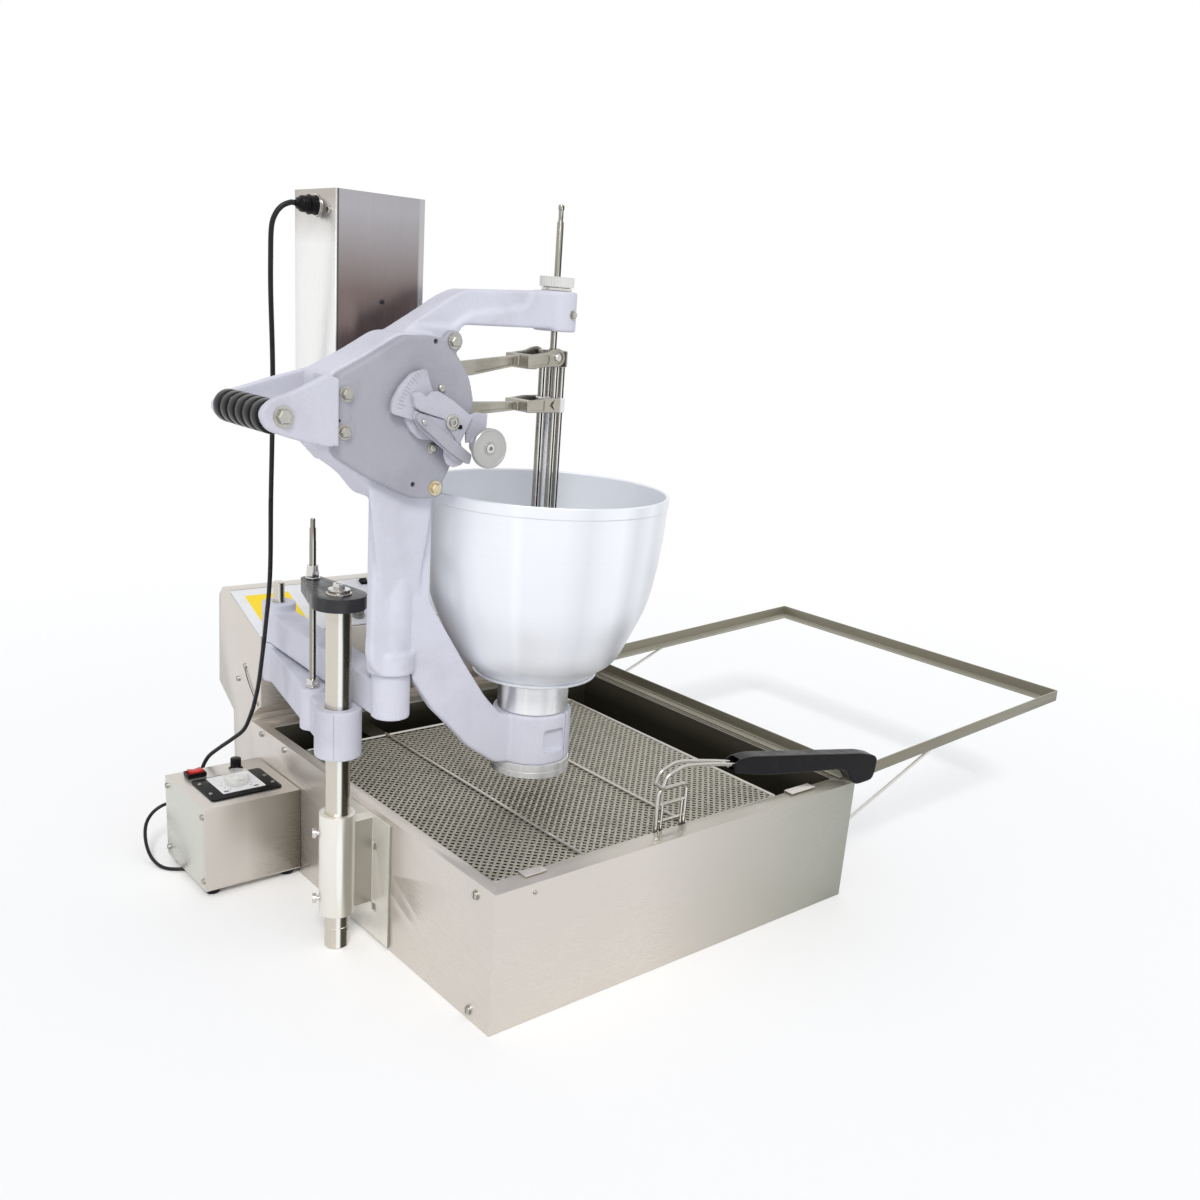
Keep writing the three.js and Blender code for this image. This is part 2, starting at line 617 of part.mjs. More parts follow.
const caseOutline = [
  [-44, 619], [22, 617], [44, 654], [74, 729], [67, 761], [48, 790],
  [27, 807], [-23, 806], [-62, 783], [-108, 760], [-108, 673], [-67, 646],
];
const bossOutline = [
  [-44, 668], [50, 668], [62, 729], [40, 775], [-40, 775], [-60, 750], [-60, 690],
];
const coverOutline = [
  [-66, 649], [-10, 624], [20.5, 622], [40, 656], [71, 729], [64, 759],
  [45, 787], [26, 804], [-22, 804], [-61, 781], [-104, 758], [-107, 674],
];

function buildFrame(parent) {
  const x = nozzle.x;
  const grasp = nozzle.radius + FIT;
  const ring = turned([
    [grasp, collar.low], [collar.radius, collar.low], [collar.radius, collar.high],
    [grasp, collar.high], [grasp, collar.low],
  ], ROUND, x);
  const legOutline = outline([
    [-38, 640], [-38.5, 497], [-40, 424], [-30, 404], [15.5, 397], [51.2, 345], [83.3, 312],
    [106.7, 285], [150.8, 253], [x - 46, collar.low], [x - 46, collar.high], [158, 321],
    [130, 352], [98, 399], [41.7, 488], [40.4, 640],
  ], 8);
  const ribOutline = outline([
    [-22, 640], [-22, 430], [0, 404], [26, 392], [60, 352], [92, 322], [116, 296], [154, 270],
    [x - 48, 262], [x - 48, 308], [158, 314], [124, 345], [90, 395], [22, 484], [22, 640],
  ], 6);
  const armOutline = outline([
    [-62, 700], [60, 700], [60, 795], [74, 817.5], [x - 20, 819], [x, arm.noseLow], [x, arm.noseHigh],
    [183, 862], [80, 857], [60, 848], [35, 832], [5, 814], [-17, 801], [-62, 782],
  ], 6);
  const rearBracket = outline([
    [-48.4, 693], [-48.4, 766], [-79, 759], [-125, 747], [-181, 730], [-196, 718], [-189, 703],
    [-156, 692], [-108, 684],
  ], 8);
  const pinBack = gearCase.back - gearCase.wall + 2;
  const outerCase = slab(outline(caseOutline, 10), gearCase.front, gearCase.back);
  const cavity = slab(outline(inset(caseOutline, gearCase.wall), 6), gearCase.front - 1,
    gearCase.back - gearCase.wall);
  const body = cut(
    join(
      outerCase,
      slab(legOutline, post.front, post.front + post.web),
      slab(ribOutline, post.front + post.web - 1, post.ribBack),
      slab(outline(bossOutline, 8), gearCase.back - 1, gearCase.boss),
      slab(armOutline, -arm.halfWidth, arm.halfWidth),
      pillar(arm.noseRadius, arm.noseLow, arm.noseHigh, x),
      pillar(boss.sleeve, upperLink.bossHigh + FIT, 428),
      pillar(post.hinge, 428, post.hingeHigh),
      slab(rearBracket, gearCase.boss - 3, gearCase.boss + 8),
      ring,
    ),
    cavity,
    pillar(grasp, collar.low - 1, collar.high + 1, x, 0, ROUND),
    pillar(nozzle.neck + FIT, collar.high, nozzle.high, x, 0, ROUND),
    pillar(boss.hinge + 2, lowerLink.high, upperLink.bossHigh + FIT),
    pillar(hingePin.radius + FIT, upperLink.bossHigh - 1, hingePin.high + 1, 0, 0, 24),
    pillar(guideRod.radius + FIT, arm.noseLow - 1, arm.noseHigh + 1, x, 0, 20),
    axle(crank.shaft + FIT, crank.x, crank.z, 0, gearCase.boss + 1),
    block([40, 96], [-9, 9], [lowerPivot.z - 18, upperPivot.z + 24]),
  );
  const pins = [upperPivot, lowerPivot].map((pivot) => axle(lever.pin, pivot.x, pivot.z, -11, pinBack, 16));
  piece("depositor_frame", join(body, ...pins), casting, parent);

  const cover = join(
    slab(outline(coverOutline, 8), gearCase.front - FIT - gearCase.cover + 0.3, gearCase.front - FIT),
    axle(stroke.pin, crank.x, crank.z, gearCase.front - gearCase.cover - 20, gearCase.front - 2, 16),
  );
  piece("gear_cover", cover, casting, parent);
}

function buildHandle(parent) {
  const caseLeft = Math.min(...caseOutline.map(([x]) => x)) - FIT;
  const front = gearCase.front - gearCase.cover - 12;
  const side = outline([
    [-197.6, 720], [-189, 703], [-156.5, 693], [-113, 684], [-113, 757], [-120, 762], [-156, 744],
    [-186, 734],
  ], 8);
  const foot = outline([[-126, 688], [caseLeft, 686], [caseLeft, 757], [-122, 761]]);
  const holder = join(slab(side, front, front + 9.7), slab(foot, front, gearCase.front + 6));
  piece("front_handle_bracket", holder, casting, parent);

  const near = front + 10;
  const far = gearCase.boss - 3 - FIT;
  const pitch = (far - near) / grip.ridges;
  const profile = [[0, near], [grip.radius - grip.ridge, near]];
  for (let i = 0; i < grip.ridges; i++) {
    const from = near + i * pitch;
    profile.push([grip.radius - grip.ridge, from + 2], [grip.radius, from + 4],
      [grip.radius, from + pitch - 2]);
  }
  profile.push([grip.radius - grip.ridge, far], [0, far]);
  const holding = group(parent, grip.x, 0, grip.z);
  holding.rotation.x = -Math.PI / 2;
  piece("handle_grip", turned(profile, 18), rubber, holding);
}

function buildMotor(parent) {
  const near = gearCase.boss + FIT;
  const bottom = motorBox.low;
  const shape = outline([
    [motorBox.left, bottom + motorBox.chamfer], [motorBox.left + motorBox.chamfer, bottom],
    [motorBox.right, bottom],
    [motorBox.right, motorBox.high], [motorBox.left, motorBox.high],
  ]);
  const gearX = [crank.x - motor.gearWidth / 2, crank.x + motor.gearWidth / 2];
  const inner = inset([
    [motorBox.left, bottom + motorBox.chamfer], [motorBox.left + motorBox.chamfer, bottom],
    [motorBox.right, bottom],
    [motorBox.right, motorBox.high], [motorBox.left, motorBox.high],
  ], SHEET);
  const housing = cut(
    slab(shape, near, motorBox.back),
    slab(outline(inner), near + SHEET, motorBox.back - SHEET),
    block([gearX[0] - 1, gearX[1] + 0.5], [near - 1, near + SHEET + 1], [motor.gearLow - 1, motor.low]),
  );
  piece("motor_housing", housing, steel, parent);
  const middle = (near + motorBox.back) / 2;
  const gearbox = block(gearX, [near, near + motor.gearDepth], [motor.gearLow, motor.low - 1]);
  const drive = join(gearbox, pillar(motor.radius, motor.low - 2, motor.high, crank.x, middle, 24));
  piece("motor", drive, darkSteel, parent);

  const socket = group(parent, motorBox.left - FIT, plug.y, plug.z);
  socket.rotation.y = -Math.PI / 2;
  piece("motor_connector", turned([
    [0, 0], [plug.radius + 2, 0], [plug.radius + 2, 10], [plug.radius, 12], [plug.radius, plug.length - 8],
    [plug.neck + 2, plug.length - 2], [plug.neck, plug.length], [0, plug.length],
  ], 20), blackPlastic, socket);
}

function buildHopper(parent) {
  const x = nozzle.x;
  const seat = nozzle.high;
  const outer = [[88, 379], [110.4, 398], [129, 436], [145.5, 477], [159.1, 554], [161.7, 606]];
  const rim = [[hopper.rimRadius, hopper.rimHigh - hopper.rimBand], [hopper.rimRadius, hopper.rimHigh]];
  const inner = outer.map(([r, z]) => [r - hopper.wall, z + (z < 400 ? hopper.wall * 0.6 : 0)]).reverse();
  const throat = nozzle.bore + FIT;
  piece("hopper", turned([
    [throat, seat + FIT], [hopper.flangeRadius, seat + FIT], [hopper.flangeRadius, seat + hopper.flange],
    ...outer, ...rim, [161.7 - hopper.wall, hopper.rimHigh], ...inner, [throat, seat + hopper.flange],
    [throat, seat + FIT],
  ], ROUND, x), aluminium, parent);
  const barrel = [
    [nozzle.bore, nozzle.low], [nozzle.ring, nozzle.low], [nozzle.ring, collar.low - FIT],
    [nozzle.radius, collar.low - FIT], [nozzle.radius, collar.high + FIT], [nozzle.neck, collar.high + FIT],
    [nozzle.neck, seat], [nozzle.bore, seat], [nozzle.bore, nozzle.low],
  ];
  piece("cylinder", turned(barrel, ROUND, x), machined, parent);
}

// A bar from a pivot boss to a fork around the collar at the nozzle's centre line.
function forkLever(pivot, collarRadius) {
  const fork = nozzle.x;
  const rise = (pivot.end - pivot.z) / (fork - pivot.x);
  const low = (x) => pivot.z + (x - pivot.x) * rise - lever.height / 2;
  const back = fork - collarRadius - 14;
  const half = lever.thick / 2;
  const barShape = outline([
    [pivot.x, low(pivot.x)], [back + 4, low(back + 4) + 2], [back + 4, low(back + 4) + lever.height - 2],
    [pivot.x, low(pivot.x) + lever.height],
  ]);
  const inner = collarRadius + 1;
  const outer = inner + lever.cheek;
  const [z0, z1] = [pivot.end - 9, pivot.end + 9];
  const cheeks = [-1, 1].map((side) => {
    const ys = side < 0 ? [-outer, -inner] : [inner, outer];
    return block([back, back + lever.forkLength], ys, [z0, z1]);
  });
  return cut(
    join(
      axle(pivot.boss, pivot.x, pivot.z, -7, 7),
      slab(barShape, -half, half),
      block([back, back + 6], [-outer, outer], [z0, z1]),
      ...cheeks,
    ),
    axle(lever.pin + FIT, pivot.x, pivot.z, -8, 8, 16),
  );
}

function buildMechanism(parent) {
  const x = nozzle.x;
  const rodPlaces = Array.from({ length: piston.rods }, (_, i) => {
    const angle = (piston.turn + (360 * i) / piston.rods) * RAD;
    return [x + piston.pitch * Math.cos(angle), piston.pitch * Math.sin(angle)];
  });
  const tubeBore = cutter.tube + FIT;
  const pistonTop = piston.low + piston.thick;
  const rods = rodPlaces.map(([rx, ry]) => pillar(piston.rodRadius, pistonTop - 2, upperCollar.low + 2,
    rx, ry, 10));
  const pistonBody = cut(
    join(
      pillar(piston.radius, piston.low, pistonTop, x, 0, ROUND),
      pillar(upperCollar.radius, upperCollar.low, upperCollar.high, x, 0, 24),
      pillar(guideRod.radius, upperCollar.high - 2, guideRod.high, x, 0, 20),
      ...rods,
    ),
    pillar(tubeBore, piston.low - 1, pistonTop + 1, x, 0, 20),
  );
  piece("piston_rods", pistonBody, machined, parent);

  const sleeve = cut(
    join(
      pillar(upperCollar.radius, cutter.collarLow, cutter.collarHigh, x, 0, 24),
      pillar(cutter.tube, cutter.discLow, cutter.collarLow + 2, x, 0, 20),
      pillar(cutter.discRadius, cutter.discLow, cutter.discLow + cutter.disc, x, 0, 40),
    ),
    ...rodPlaces.map(([rx, ry]) => pillar(piston.rodRadius + FIT, cutter.collarLow - 1,
      cutter.collarHigh + 1, rx, ry, 10)),
  );
  piece("cutter_sleeve", sleeve, machined, parent);
  piece("upper_lever", forkLever(upperPivot, upperCollar.radius), brightSteel, parent);
  piece("lower_lever", forkLever(lowerPivot, upperCollar.radius), brightSteel, parent);

  const ribs = new THREE.Shape();
  for (let i = 0; i < 2 * guideNut.ribs; i++) {
    const angle = (Math.PI * i) / guideNut.ribs;
    const r = guideNut.radius - (i % 2);
    if (i === 0) ribs.moveTo(r, 0);
    else ribs.lineTo(r * Math.cos(angle), r * Math.sin(angle));
  }
  ribs.closePath();
  const nutBody = cut(
    plate(ribs, guideNut.low, guideNut.high),
    pillar(guideRod.radius + FIT, guideNut.low - 1, guideNut.high + 1, 0, 0, 20),
  );
  piece("guide_nut", nutBody, machined, group(parent, x));

  const wheel = join(
    axle(crank.radius, 0, 0, crank.front, crank.back, 32),
    axle(crank.shaft, 0, 0, crank.back - 1, gearCase.boss, 24),
    axle(4, crank.radius * 0.6, 0, crank.front - 2, crank.front + 1, 12),
  );
  piece("crank_wheel", wheel, darkSteel, group(parent, crank.x, 0, crank.z));
}

function buildStrokeAdjuster(parent) {
  const face = gearCase.front - gearCase.cover;
  const scaleFront = face - 10.5;
  const pinBore = stroke.pin + FIT;
  const sector = cut(
    join(
      slab(outline([[-2, 770], [-20, 764], [-34, 750], [-43, 735], [-45, 721], [-14.6, 713], [22, 699],
        [44, 713], [29, 735], [7, 745.6]], 4), scaleFront, scaleFront + 5),
      slab(outline([[-26, 716], [-18, 702], [-6, 692], [14, 690.5], [44, 705], [36, 728], [10, 730]], 4),
        scaleFront + 4, face - FIT),
    ),
    axle(pinBore, crank.x, crank.z, scaleFront - 1, face + 1, 16),
  );
  piece("sector_plate", sector, casting, parent);

  const leverBack = scaleFront - FIT;
  const leverFront = leverBack - stroke.plate;
  const barFront = leverFront - stroke.bar;
  const at = (points) => points.map(([px, pz]) => [px - crank.x, pz - crank.z]);
  const leverBody = cut(
    join(
      slab(outline(at([[-23, 737], [-17, 720], [39, 684], [56, 718], [20, 742.6], [6, 745], [-2.4, 739],
        [-14.6, 745]]), 3), leverFront, leverBack),
      slab(outline(at([[-19, 726], [-25, 712], [52, 659], [78, 676], [76, 694], [58, 694], [46, 688]]),
        3), barFront, leverFront + 0.5),
      block([22, 43], [leverFront - 8, leverBack], [-5, 9]),
    ),
    axle(pinBore, 0, 0, barFront - 1, leverBack + 1, 16),
  );
  const pivot = group(parent, crank.x, 0, crank.z);
  piece("stroke_lever", leverBody, casting, pivot);
  const knobPivot = group(pivot, stroke.knobX - crank.x, 0, stroke.knobZ - crank.z);
  const knobBack = barFront - 7;
  const disc = join(
    axle(stroke.knobRadius, 0, 0, knobBack - stroke.knobThick, knobBack, 32),
    axle(6, 0, 0, knobBack - 1, barFront - FIT, 16),
  );
  piece("stroke_knob", disc, machined, knobPivot);
}

// ---------------------------------------------------------------- control box

function buildControlBox(parent) {
  const at = group(parent, LEFT + box.x, FRONT + box.y, 0);
  const size = box.size;
  const base = box.low + SHEET;
  const casing = cut(
    block([0, size - 1], [0, size], [base + FIT, box.high]),
    block([SHEET, size - 1 - SHEET], [SHEET, size - SHEET], [base - 1, box.high - SHEET]),
  );
  piece("control_box_casing", casing, steel, at);
  piece("control_box_base", block([0.5, size - 1.5], [0.5, size - 0.5], [box.low, base]), steel, at);
  const near = box.footInset;
  const far = size - box.footInset;
  [[near, near], [far, near], [far, far], [near, far]].forEach(([x, y], i) => {
    piece(`control_foot_${i + 1}`, turned([
      [0, 0], [box.feet - 1.5, 0], [box.feet, 2], [box.feet, box.low - FIT], [0, box.low - FIT],
    ], 16, x, y), rubber, at);
  });

  const low = box.high + FIT;
  const panelTop = low + panel.thick;
  piece("speed_panel", block([panel.x, panel.x + panel.width], [panel.y, panel.y + panel.depth],
    [low, panelTop]), blackPlastic, at);
  const dialPivot = group(at, dial.x, dial.y, panelTop + FIT);
  piece("speed_dial", turned([
    [0, 0], [dial.radius, 0], [dial.radius, 4], [dial.radius - 3, 6], [dial.radius - 4, dial.height - 1],
    [dial.radius - 5, dial.height], [0, dial.height],
  ], 32), clearPlastic, dialPivot);
  piece("panel_knob", turned([
    [0, 0], [panelKnob.radius + 3, 0], [panelKnob.radius + 3, 2], [panelKnob.radius, 3],
    [panelKnob.radius - 1, panelKnob.height], [0, panelKnob.height],
  ], 20), blackPlastic, group(at, panelKnob.x, panelKnob.y, low));

  const { length, width, frame, pocket } = rocker;
  const halfX = width / 2 + FIT;
  const halfY = length / 2 + pocket;
  const rockerAt = group(at, rocker.x, rocker.y, low);
  rockerAt.rotation.z = Math.PI / 2;
  piece("rocker_base", cut(
    block([-halfX - frame, halfX + frame], [-halfY - frame, halfY + frame], [0, rocker.rise]),
    block([-halfX, halfX], [-halfY, halfY], [1.5, rocker.rise + 1]),
  ), blackPlastic, rockerAt);
  const rockerPivot = group(rockerAt, 0, 0, rocker.rise - 0.5);
  piece("rocker_switch", rockerBody(length, width, 4, 2.6), redPlastic, rockerPivot);

  // the gland sits on the rear face, and the mains lead leaves it to the rear
  const gland = group(at, 30, size + FIT, 70);
  gland.rotation.x = -Math.PI / 2;
  piece("mains_gland", turned([[0, 0], [9, 0], [9, 5], [6, 7], [4.2, glandLength], [0, glandLength]], 16),
    blackPlastic, gland);
}

// ---------------------------------------------------------------- cords

function buildCords(parent) {
  // the motor's cord hangs free from its plug to the control box, in four lengths
  const motorRoutes = {
    motor_cord_upper: [[-84.6, 335.5, 936], [-89.5, 335.6, 935.8], [-99, 337, 931], [-106, 339.5, 921.5],
      [-108.8, 343.5, 907], [-107.5, 349, 875], [-104.5, 356, 835], [-96, 371, 750], [-91, 385, 671],
      [-82, 410, 585]],
    motor_cord_arm: [[-82, 410, 585], [-66, 450, 475], [-54.5, 494, 380]],
    motor_cord_link: [[-54.5, 494, 380], [-46.5, 533, 300], [-43, 562, 250]],
    motor_cord_lower: [[-43, 562, 250], [-45, 588, 211], [-52, 617, 186], [-61, 646, 163], [-70, 668, 142],
      [-76.5, 677, 119], [-79.5, 669, 102], [-80, 655.5, 95.6], [-80, 642.5, 95]],
  };
  const half = FIT / 2 + 0.05;
  for (const [name, points] of Object.entries(motorRoutes)) {
    const placed = points.map(([x, y, z]) => new THREE.Vector3(LEFT + x, FRONT + y, z));
    const trim = (end, next) => end.add(next.clone().sub(end).setLength(half));
    trim(placed[0], placed[1]);
    trim(placed.at(-1), placed.at(-2));
    const steps = 3 * points.length;
    piece(name, wire(cord.motor, placed.map((point) => point.toArray()), steps), rubber, parent);
  }

  // the mains lead drops from the gland, runs under the box and on to a coil behind the fryer
  const floor = cord.mains + 0.1;
  const windY = coil.outer - cord.mains - 0.2;
  const leadStart = box.y + box.size + 2 * FIT + glandLength;
  const windX = Math.sqrt((coil.outer + FIT) ** 2 - (windY - cord.mains) ** 2);
  const mains = [
    [-116, leadStart, 70], [-116, leadStart + 8, 69.8], [-120, 690, 68], [-131, 700, 62.5],
    [-146, 701, 53.5],
    [-159, 692.5, 42.5], [-167, 677, 30], [-171, 657, 17], [-170.5, 636, 7.5], [-164, 615, floor],
    [-149, 598.5, floor],
    [-120, 590, floor], [-66, 615, floor], [-40, 650, floor], [-28, 700, floor], [-20, 760, floor],
    [20, 808, floor],
    [80, coil.y - windY, floor],
    [coil.x - windX, coil.y - windY, floor],
  ];
  piece("mains_cord", wire(cord.mains, mains.map(([x, y, z]) => [LEFT + x, FRONT + y, z]), 72), rubber,
    parent);
  const coilAt = group(parent, LEFT + coil.x, FRONT + coil.y, 0);
  const ring = [
    [coil.inner, 0.2], [coil.outer, 0.2], [coil.outer, coil.height], [coil.inner, coil.height],
    [coil.inner, 0.2],
  ];
  piece("mains_cord_coil", turned(ring, 32), rubber, coilAt);
  const plugSide = mainsPlug.x - mainsPlug.width / 2;
  const plugY = Math.sqrt(coil.outer ** 2 - plugSide ** 2) + FIT;
  piece("mains_plug", join(
    block([-mainsPlug.width / 2, mainsPlug.width / 2], [0, mainsPlug.length], [0.2, mainsPlug.height]),
    ...[-mainsPlug.pin, mainsPlug.pin].map((x) => block(
      [x - mainsPlug.pinThick / 2, x + mainsPlug.pinThick / 2],
      [mainsPlug.length - 1, mainsPlug.length + mainsPlug.pinLength],
      [9, 16],
    )),
  ), blackPlastic, group(coilAt, mainsPlug.x, plugY, 0));
}

// ---------------------------------------------------------------- the whole machine

buildFryer(donutMaker);
buildScreen(donutMaker);
buildHead(donutMaker);
buildDrain(donutMaker);
const columnGroup = buildColumn(donutMaker);
const depositor = buildLinks(columnGroup);
buildFrame(depositor);
buildHandle(depositor);
buildMotor(depositor);
buildHopper(depositor);
buildMechanism(depositor);
buildStrokeAdjuster(depositor);
buildControlBox(donutMaker);
buildCords(donutMaker);

export default donutMaker;
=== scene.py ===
"""A donut maker: an open fryer with a motor-driven batter depositor on two folding arms."""
import math

import bmesh
import bpy
from bpy.props import FloatProperty, FloatVectorProperty, IntProperty, PointerProperty
from mathutils import Matrix, Vector


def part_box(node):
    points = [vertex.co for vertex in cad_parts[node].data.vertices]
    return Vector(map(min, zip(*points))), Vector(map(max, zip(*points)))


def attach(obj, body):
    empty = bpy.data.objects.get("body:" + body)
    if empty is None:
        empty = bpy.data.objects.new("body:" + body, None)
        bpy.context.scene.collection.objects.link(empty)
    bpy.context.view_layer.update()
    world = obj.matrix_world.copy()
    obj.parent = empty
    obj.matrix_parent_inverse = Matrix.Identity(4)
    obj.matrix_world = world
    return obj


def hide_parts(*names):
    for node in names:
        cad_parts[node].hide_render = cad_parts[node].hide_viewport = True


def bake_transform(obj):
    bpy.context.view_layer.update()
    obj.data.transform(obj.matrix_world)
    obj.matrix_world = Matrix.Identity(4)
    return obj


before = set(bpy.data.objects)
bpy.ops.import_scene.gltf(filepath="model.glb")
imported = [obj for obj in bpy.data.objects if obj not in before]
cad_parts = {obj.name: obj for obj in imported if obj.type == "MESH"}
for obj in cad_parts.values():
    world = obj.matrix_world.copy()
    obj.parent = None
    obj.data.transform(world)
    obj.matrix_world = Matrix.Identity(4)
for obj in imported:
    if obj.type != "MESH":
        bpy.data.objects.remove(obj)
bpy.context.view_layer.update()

bl_info = {
    "name": "Donut maker",
    "version": (1, 0, 0),
    "blender": (4, 5, 0),
    "location": "3D View > Sidebar > Donut maker",
    "description": "Builds the finished surfaces of a donut maker around its measured frame",
    "category": "Object",
}

MM = 0.001
FIT = 0.3
FORWARD = Vector((0, -1, 0))
LEFTWARD = Vector((-1, 0, 0))


def middle(node):
    """The middle of a node's box."""
    low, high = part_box(node)
    return (low + high) / 2


# ---------------------------------------------------------------- places from the frame

FRYER_LOW, FRYER_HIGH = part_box("fryer_casing")
COLUMN = middle("column")
HINGE = middle("hinge_pin")
FIRST_PIVOT = middle("link_pin")
NOZZLE = middle("cylinder")
NOZZLE_REACH = (NOZZLE.x - HINGE.x) / MM


def floor_point(x, y, z=0.0):
    """A point in millimetres from the fryer's front left corner on the floor."""
    return Vector((FRYER_LOW.x + x * MM, FRYER_LOW.y + y * MM, z * MM))


def hinge_point(x, y, z):
    """A point in millimetres from the depositor's hinge axis, at a height above the floor."""
    return Vector((HINGE.x + x * MM, HINGE.y + y * MM, z * MM))


# ---------------------------------------------------------------- settings

def size(name, description, default):
    return FloatProperty(name=name, description=description, default=default, min=0.0, max=1.0,
                         unit="LENGTH", precision=4)


def tint(name, description, default):
    return FloatVectorProperty(name=name, description=description, default=default, subtype="COLOR",
                               size=3, min=0.0, max=1.0)


class CastingSettings(bpy.types.PropertyGroup):
    """Sizes and colour of the sand-cast aluminium pieces."""

    grain: size("Detail size", "Edge of the smallest detail that a large casting keeps", 2.1 * MM)
    small_grain: size("Small detail size", "Edge of the smallest detail on a small casting", 1.1 * MM)
    rounding: IntProperty(name="Rounding", description="Passes that round the edges off",
                          default=6, min=0, max=40)
    colour: tint("Colour", "Colour of the raw cast surface", (0.66, 0.66, 0.745))


class SheetSettings(bpy.types.PropertyGroup):
    """Sizes and colours of the folded stainless pieces."""

    fold: size("Fold radius", "Radius of the outer edge where the sheet is folded", 1.4 * MM)
    colour: tint("Colour", "Colour of the clean brushed steel", (0.68, 0.635, 0.585))
    tank_colour: tint("Tank colour", "Colour of the oil tank's steel", (0.040, 0.037, 0.022))


class ScreenSettings(bpy.types.PropertyGroup):
    """Sizes and colour of the woven fry screen."""

    pitch: size("Pitch", "Distance between neighbouring wires", 8.4 * MM)
    wire: size("Wire", "Half the width of the woven wire", 1.9 * MM)
    colour: tint("Colour", "Colour of the woven wire", (0.44, 0.42, 0.35))


class HopperSettings(bpy.types.PropertyGroup):
    """Sizes and colour of the spun batter hopper."""

    wall: size("Wall", "Thickness of the hopper's wall", 3 * MM)
    segments: IntProperty(name="Segments", description="Facets around the hopper", default=144,
                          min=24, max=400)
    colour: tint("Colour", "Colour of the spun aluminium", (0.91, 0.93, 0.97))


class CordSettings(bpy.types.PropertyGroup):
    """Sizes of the motor's cord and of the mains lead."""

    motor: size("Motor cord", "Diameter of the motor's cord", 6 * MM)
    mains: size("Mains lead", "Diameter of the mains lead", 5.2 * MM)
    turn: size("Coil", "Radius of the coil's outer turns", 31.6 * MM)


class StageSettings(bpy.types.PropertyGroup):
    """The camera and the light."""

    place: FloatVectorProperty(name="Camera", description="Where the camera stands", size=3,
                               default=(-1.0519, -1.3097, 0.8484), unit="LENGTH")
    heading: FloatProperty(name="Heading", description="Turn from straight ahead to the right",
                           default=math.radians(41.54), unit="ROTATION")
    pitch: FloatProperty(name="Pitch", description="Tilt below level", default=math.radians(16.94),
                         unit="ROTATION")
    roll: FloatProperty(name="Roll", description="Turn about the line of sight",
                        default=math.radians(4.48), unit="ROTATION")
    lens: FloatProperty(name="Lens", description="Focal length in millimetres", default=34.92)
    key: FloatProperty(name="Key light", description="Strength of the soft key light", default=1.55)
    fill: FloatProperty(name="Fill light", description="Strength of the light from all round",
                        default=0.70)


class MakerSettings(bpy.types.PropertyGroup):
    """All that a user may change."""

    casting: PointerProperty(type=CastingSettings)
    sheet: PointerProperty(type=SheetSettings)
    screen: PointerProperty(type=ScreenSettings)
    hopper: PointerProperty(type=HopperSettings)
    cord: PointerProperty(type=CordSettings)
    stage: PointerProperty(type=StageSettings)


def settings():
    return bpy.context.scene.donut_maker


# ---------------------------------------------------------------- shapes

class Shape:
    """Points and faces that grow into one mesh."""

    def __init__(self):
        self.points = []
        self.faces = []

    def add(self, points, faces):
        first = len(self.points)
        self.points.extend(Vector(point) for point in points)
        self.faces.extend([first + corner for corner in face] for face in faces)
        return self

    def join(self, other):
        return self.add(other.points, other.faces)

    def moved(self, matrix):
        self.points = [matrix @ point for point in self.points]
        return self


def lathe(profile, segments=64):
    """A body turned about Z from pairs of radius and height, from axis to axis or closed in a ring."""
    open_ends = profile[0][0] < 1e-6 and profile[-1][0] < 1e-6
    shape = Shape()
    rings = profile[1:-1] if open_ends else profile
    points = []
    for radius, height in rings:
        for i in range(segments):
            angle = 2 * math.pi * i / segments
            points.append((radius * MM * math.cos(angle), radius * MM * math.sin(angle), height * MM))
    faces = []
    last = len(rings) - 1 if open_ends else len(rings)
    for ring in range(last):
        here, there = ring * segments, ((ring + 1) % len(rings)) * segments
        for i in range(segments):
            j = (i + 1) % segments
            faces.append((here + i, here + j, there + j, there + i))
    if open_ends:
        points.append((0, 0, profile[0][1] * MM))
        points.append((0, 0, profile[-1][1] * MM))
        low, high = len(points) - 2, len(points) - 1
        top = last * segments
        for i in range(segments):
            j = (i + 1) % segments
            faces.append((low, j, i))
            faces.append((high, top + i, top + j))
    return shape.add(points, faces)


def rounded(corners, radius, steps=5):
    """An outline in millimetres whose corners are rounded by up to the radius."""
    result = []
    for i, corner in enumerate(corners):
        here = Vector(corner)
        before = Vector(corners[i - 1]) - here
        after = Vector(corners[(i + 1) % len(corners)]) - here
        entry = here + before.normalized() * min(radius, before.length * 0.49)
        leave = here + after.normalized() * min(radius, after.length * 0.49)
        for step in range(steps + 1):
            t = step / steps
            result.append((entry * (1 - t) ** 2 + here * 2 * t * (1 - t) + leave * t * t)[:])
    return result


def circle(radius, segments=32, x=0.0, y=0.0):
    turns = (2 * math.pi * i / segments for i in range(segments))
    return [(x + radius * math.cos(turn), y + radius * math.sin(turn)) for turn in turns]


def drop(big, small, distance, steps=20):
    """A round end at the origin, a smaller one along +X and straight sides between them."""
    lean = math.acos((big - small) / distance)
    result = []
    for step in range(steps + 1):
        angle = lean + (2 * math.pi - 2 * lean) * step / steps
        result.append((big * math.cos(angle), big * math.sin(angle)))
    for step in range(steps + 1):
        angle = -lean + 2 * lean * step / steps
        result.append((distance + small * math.cos(angle), small * math.sin(angle)))
    return result


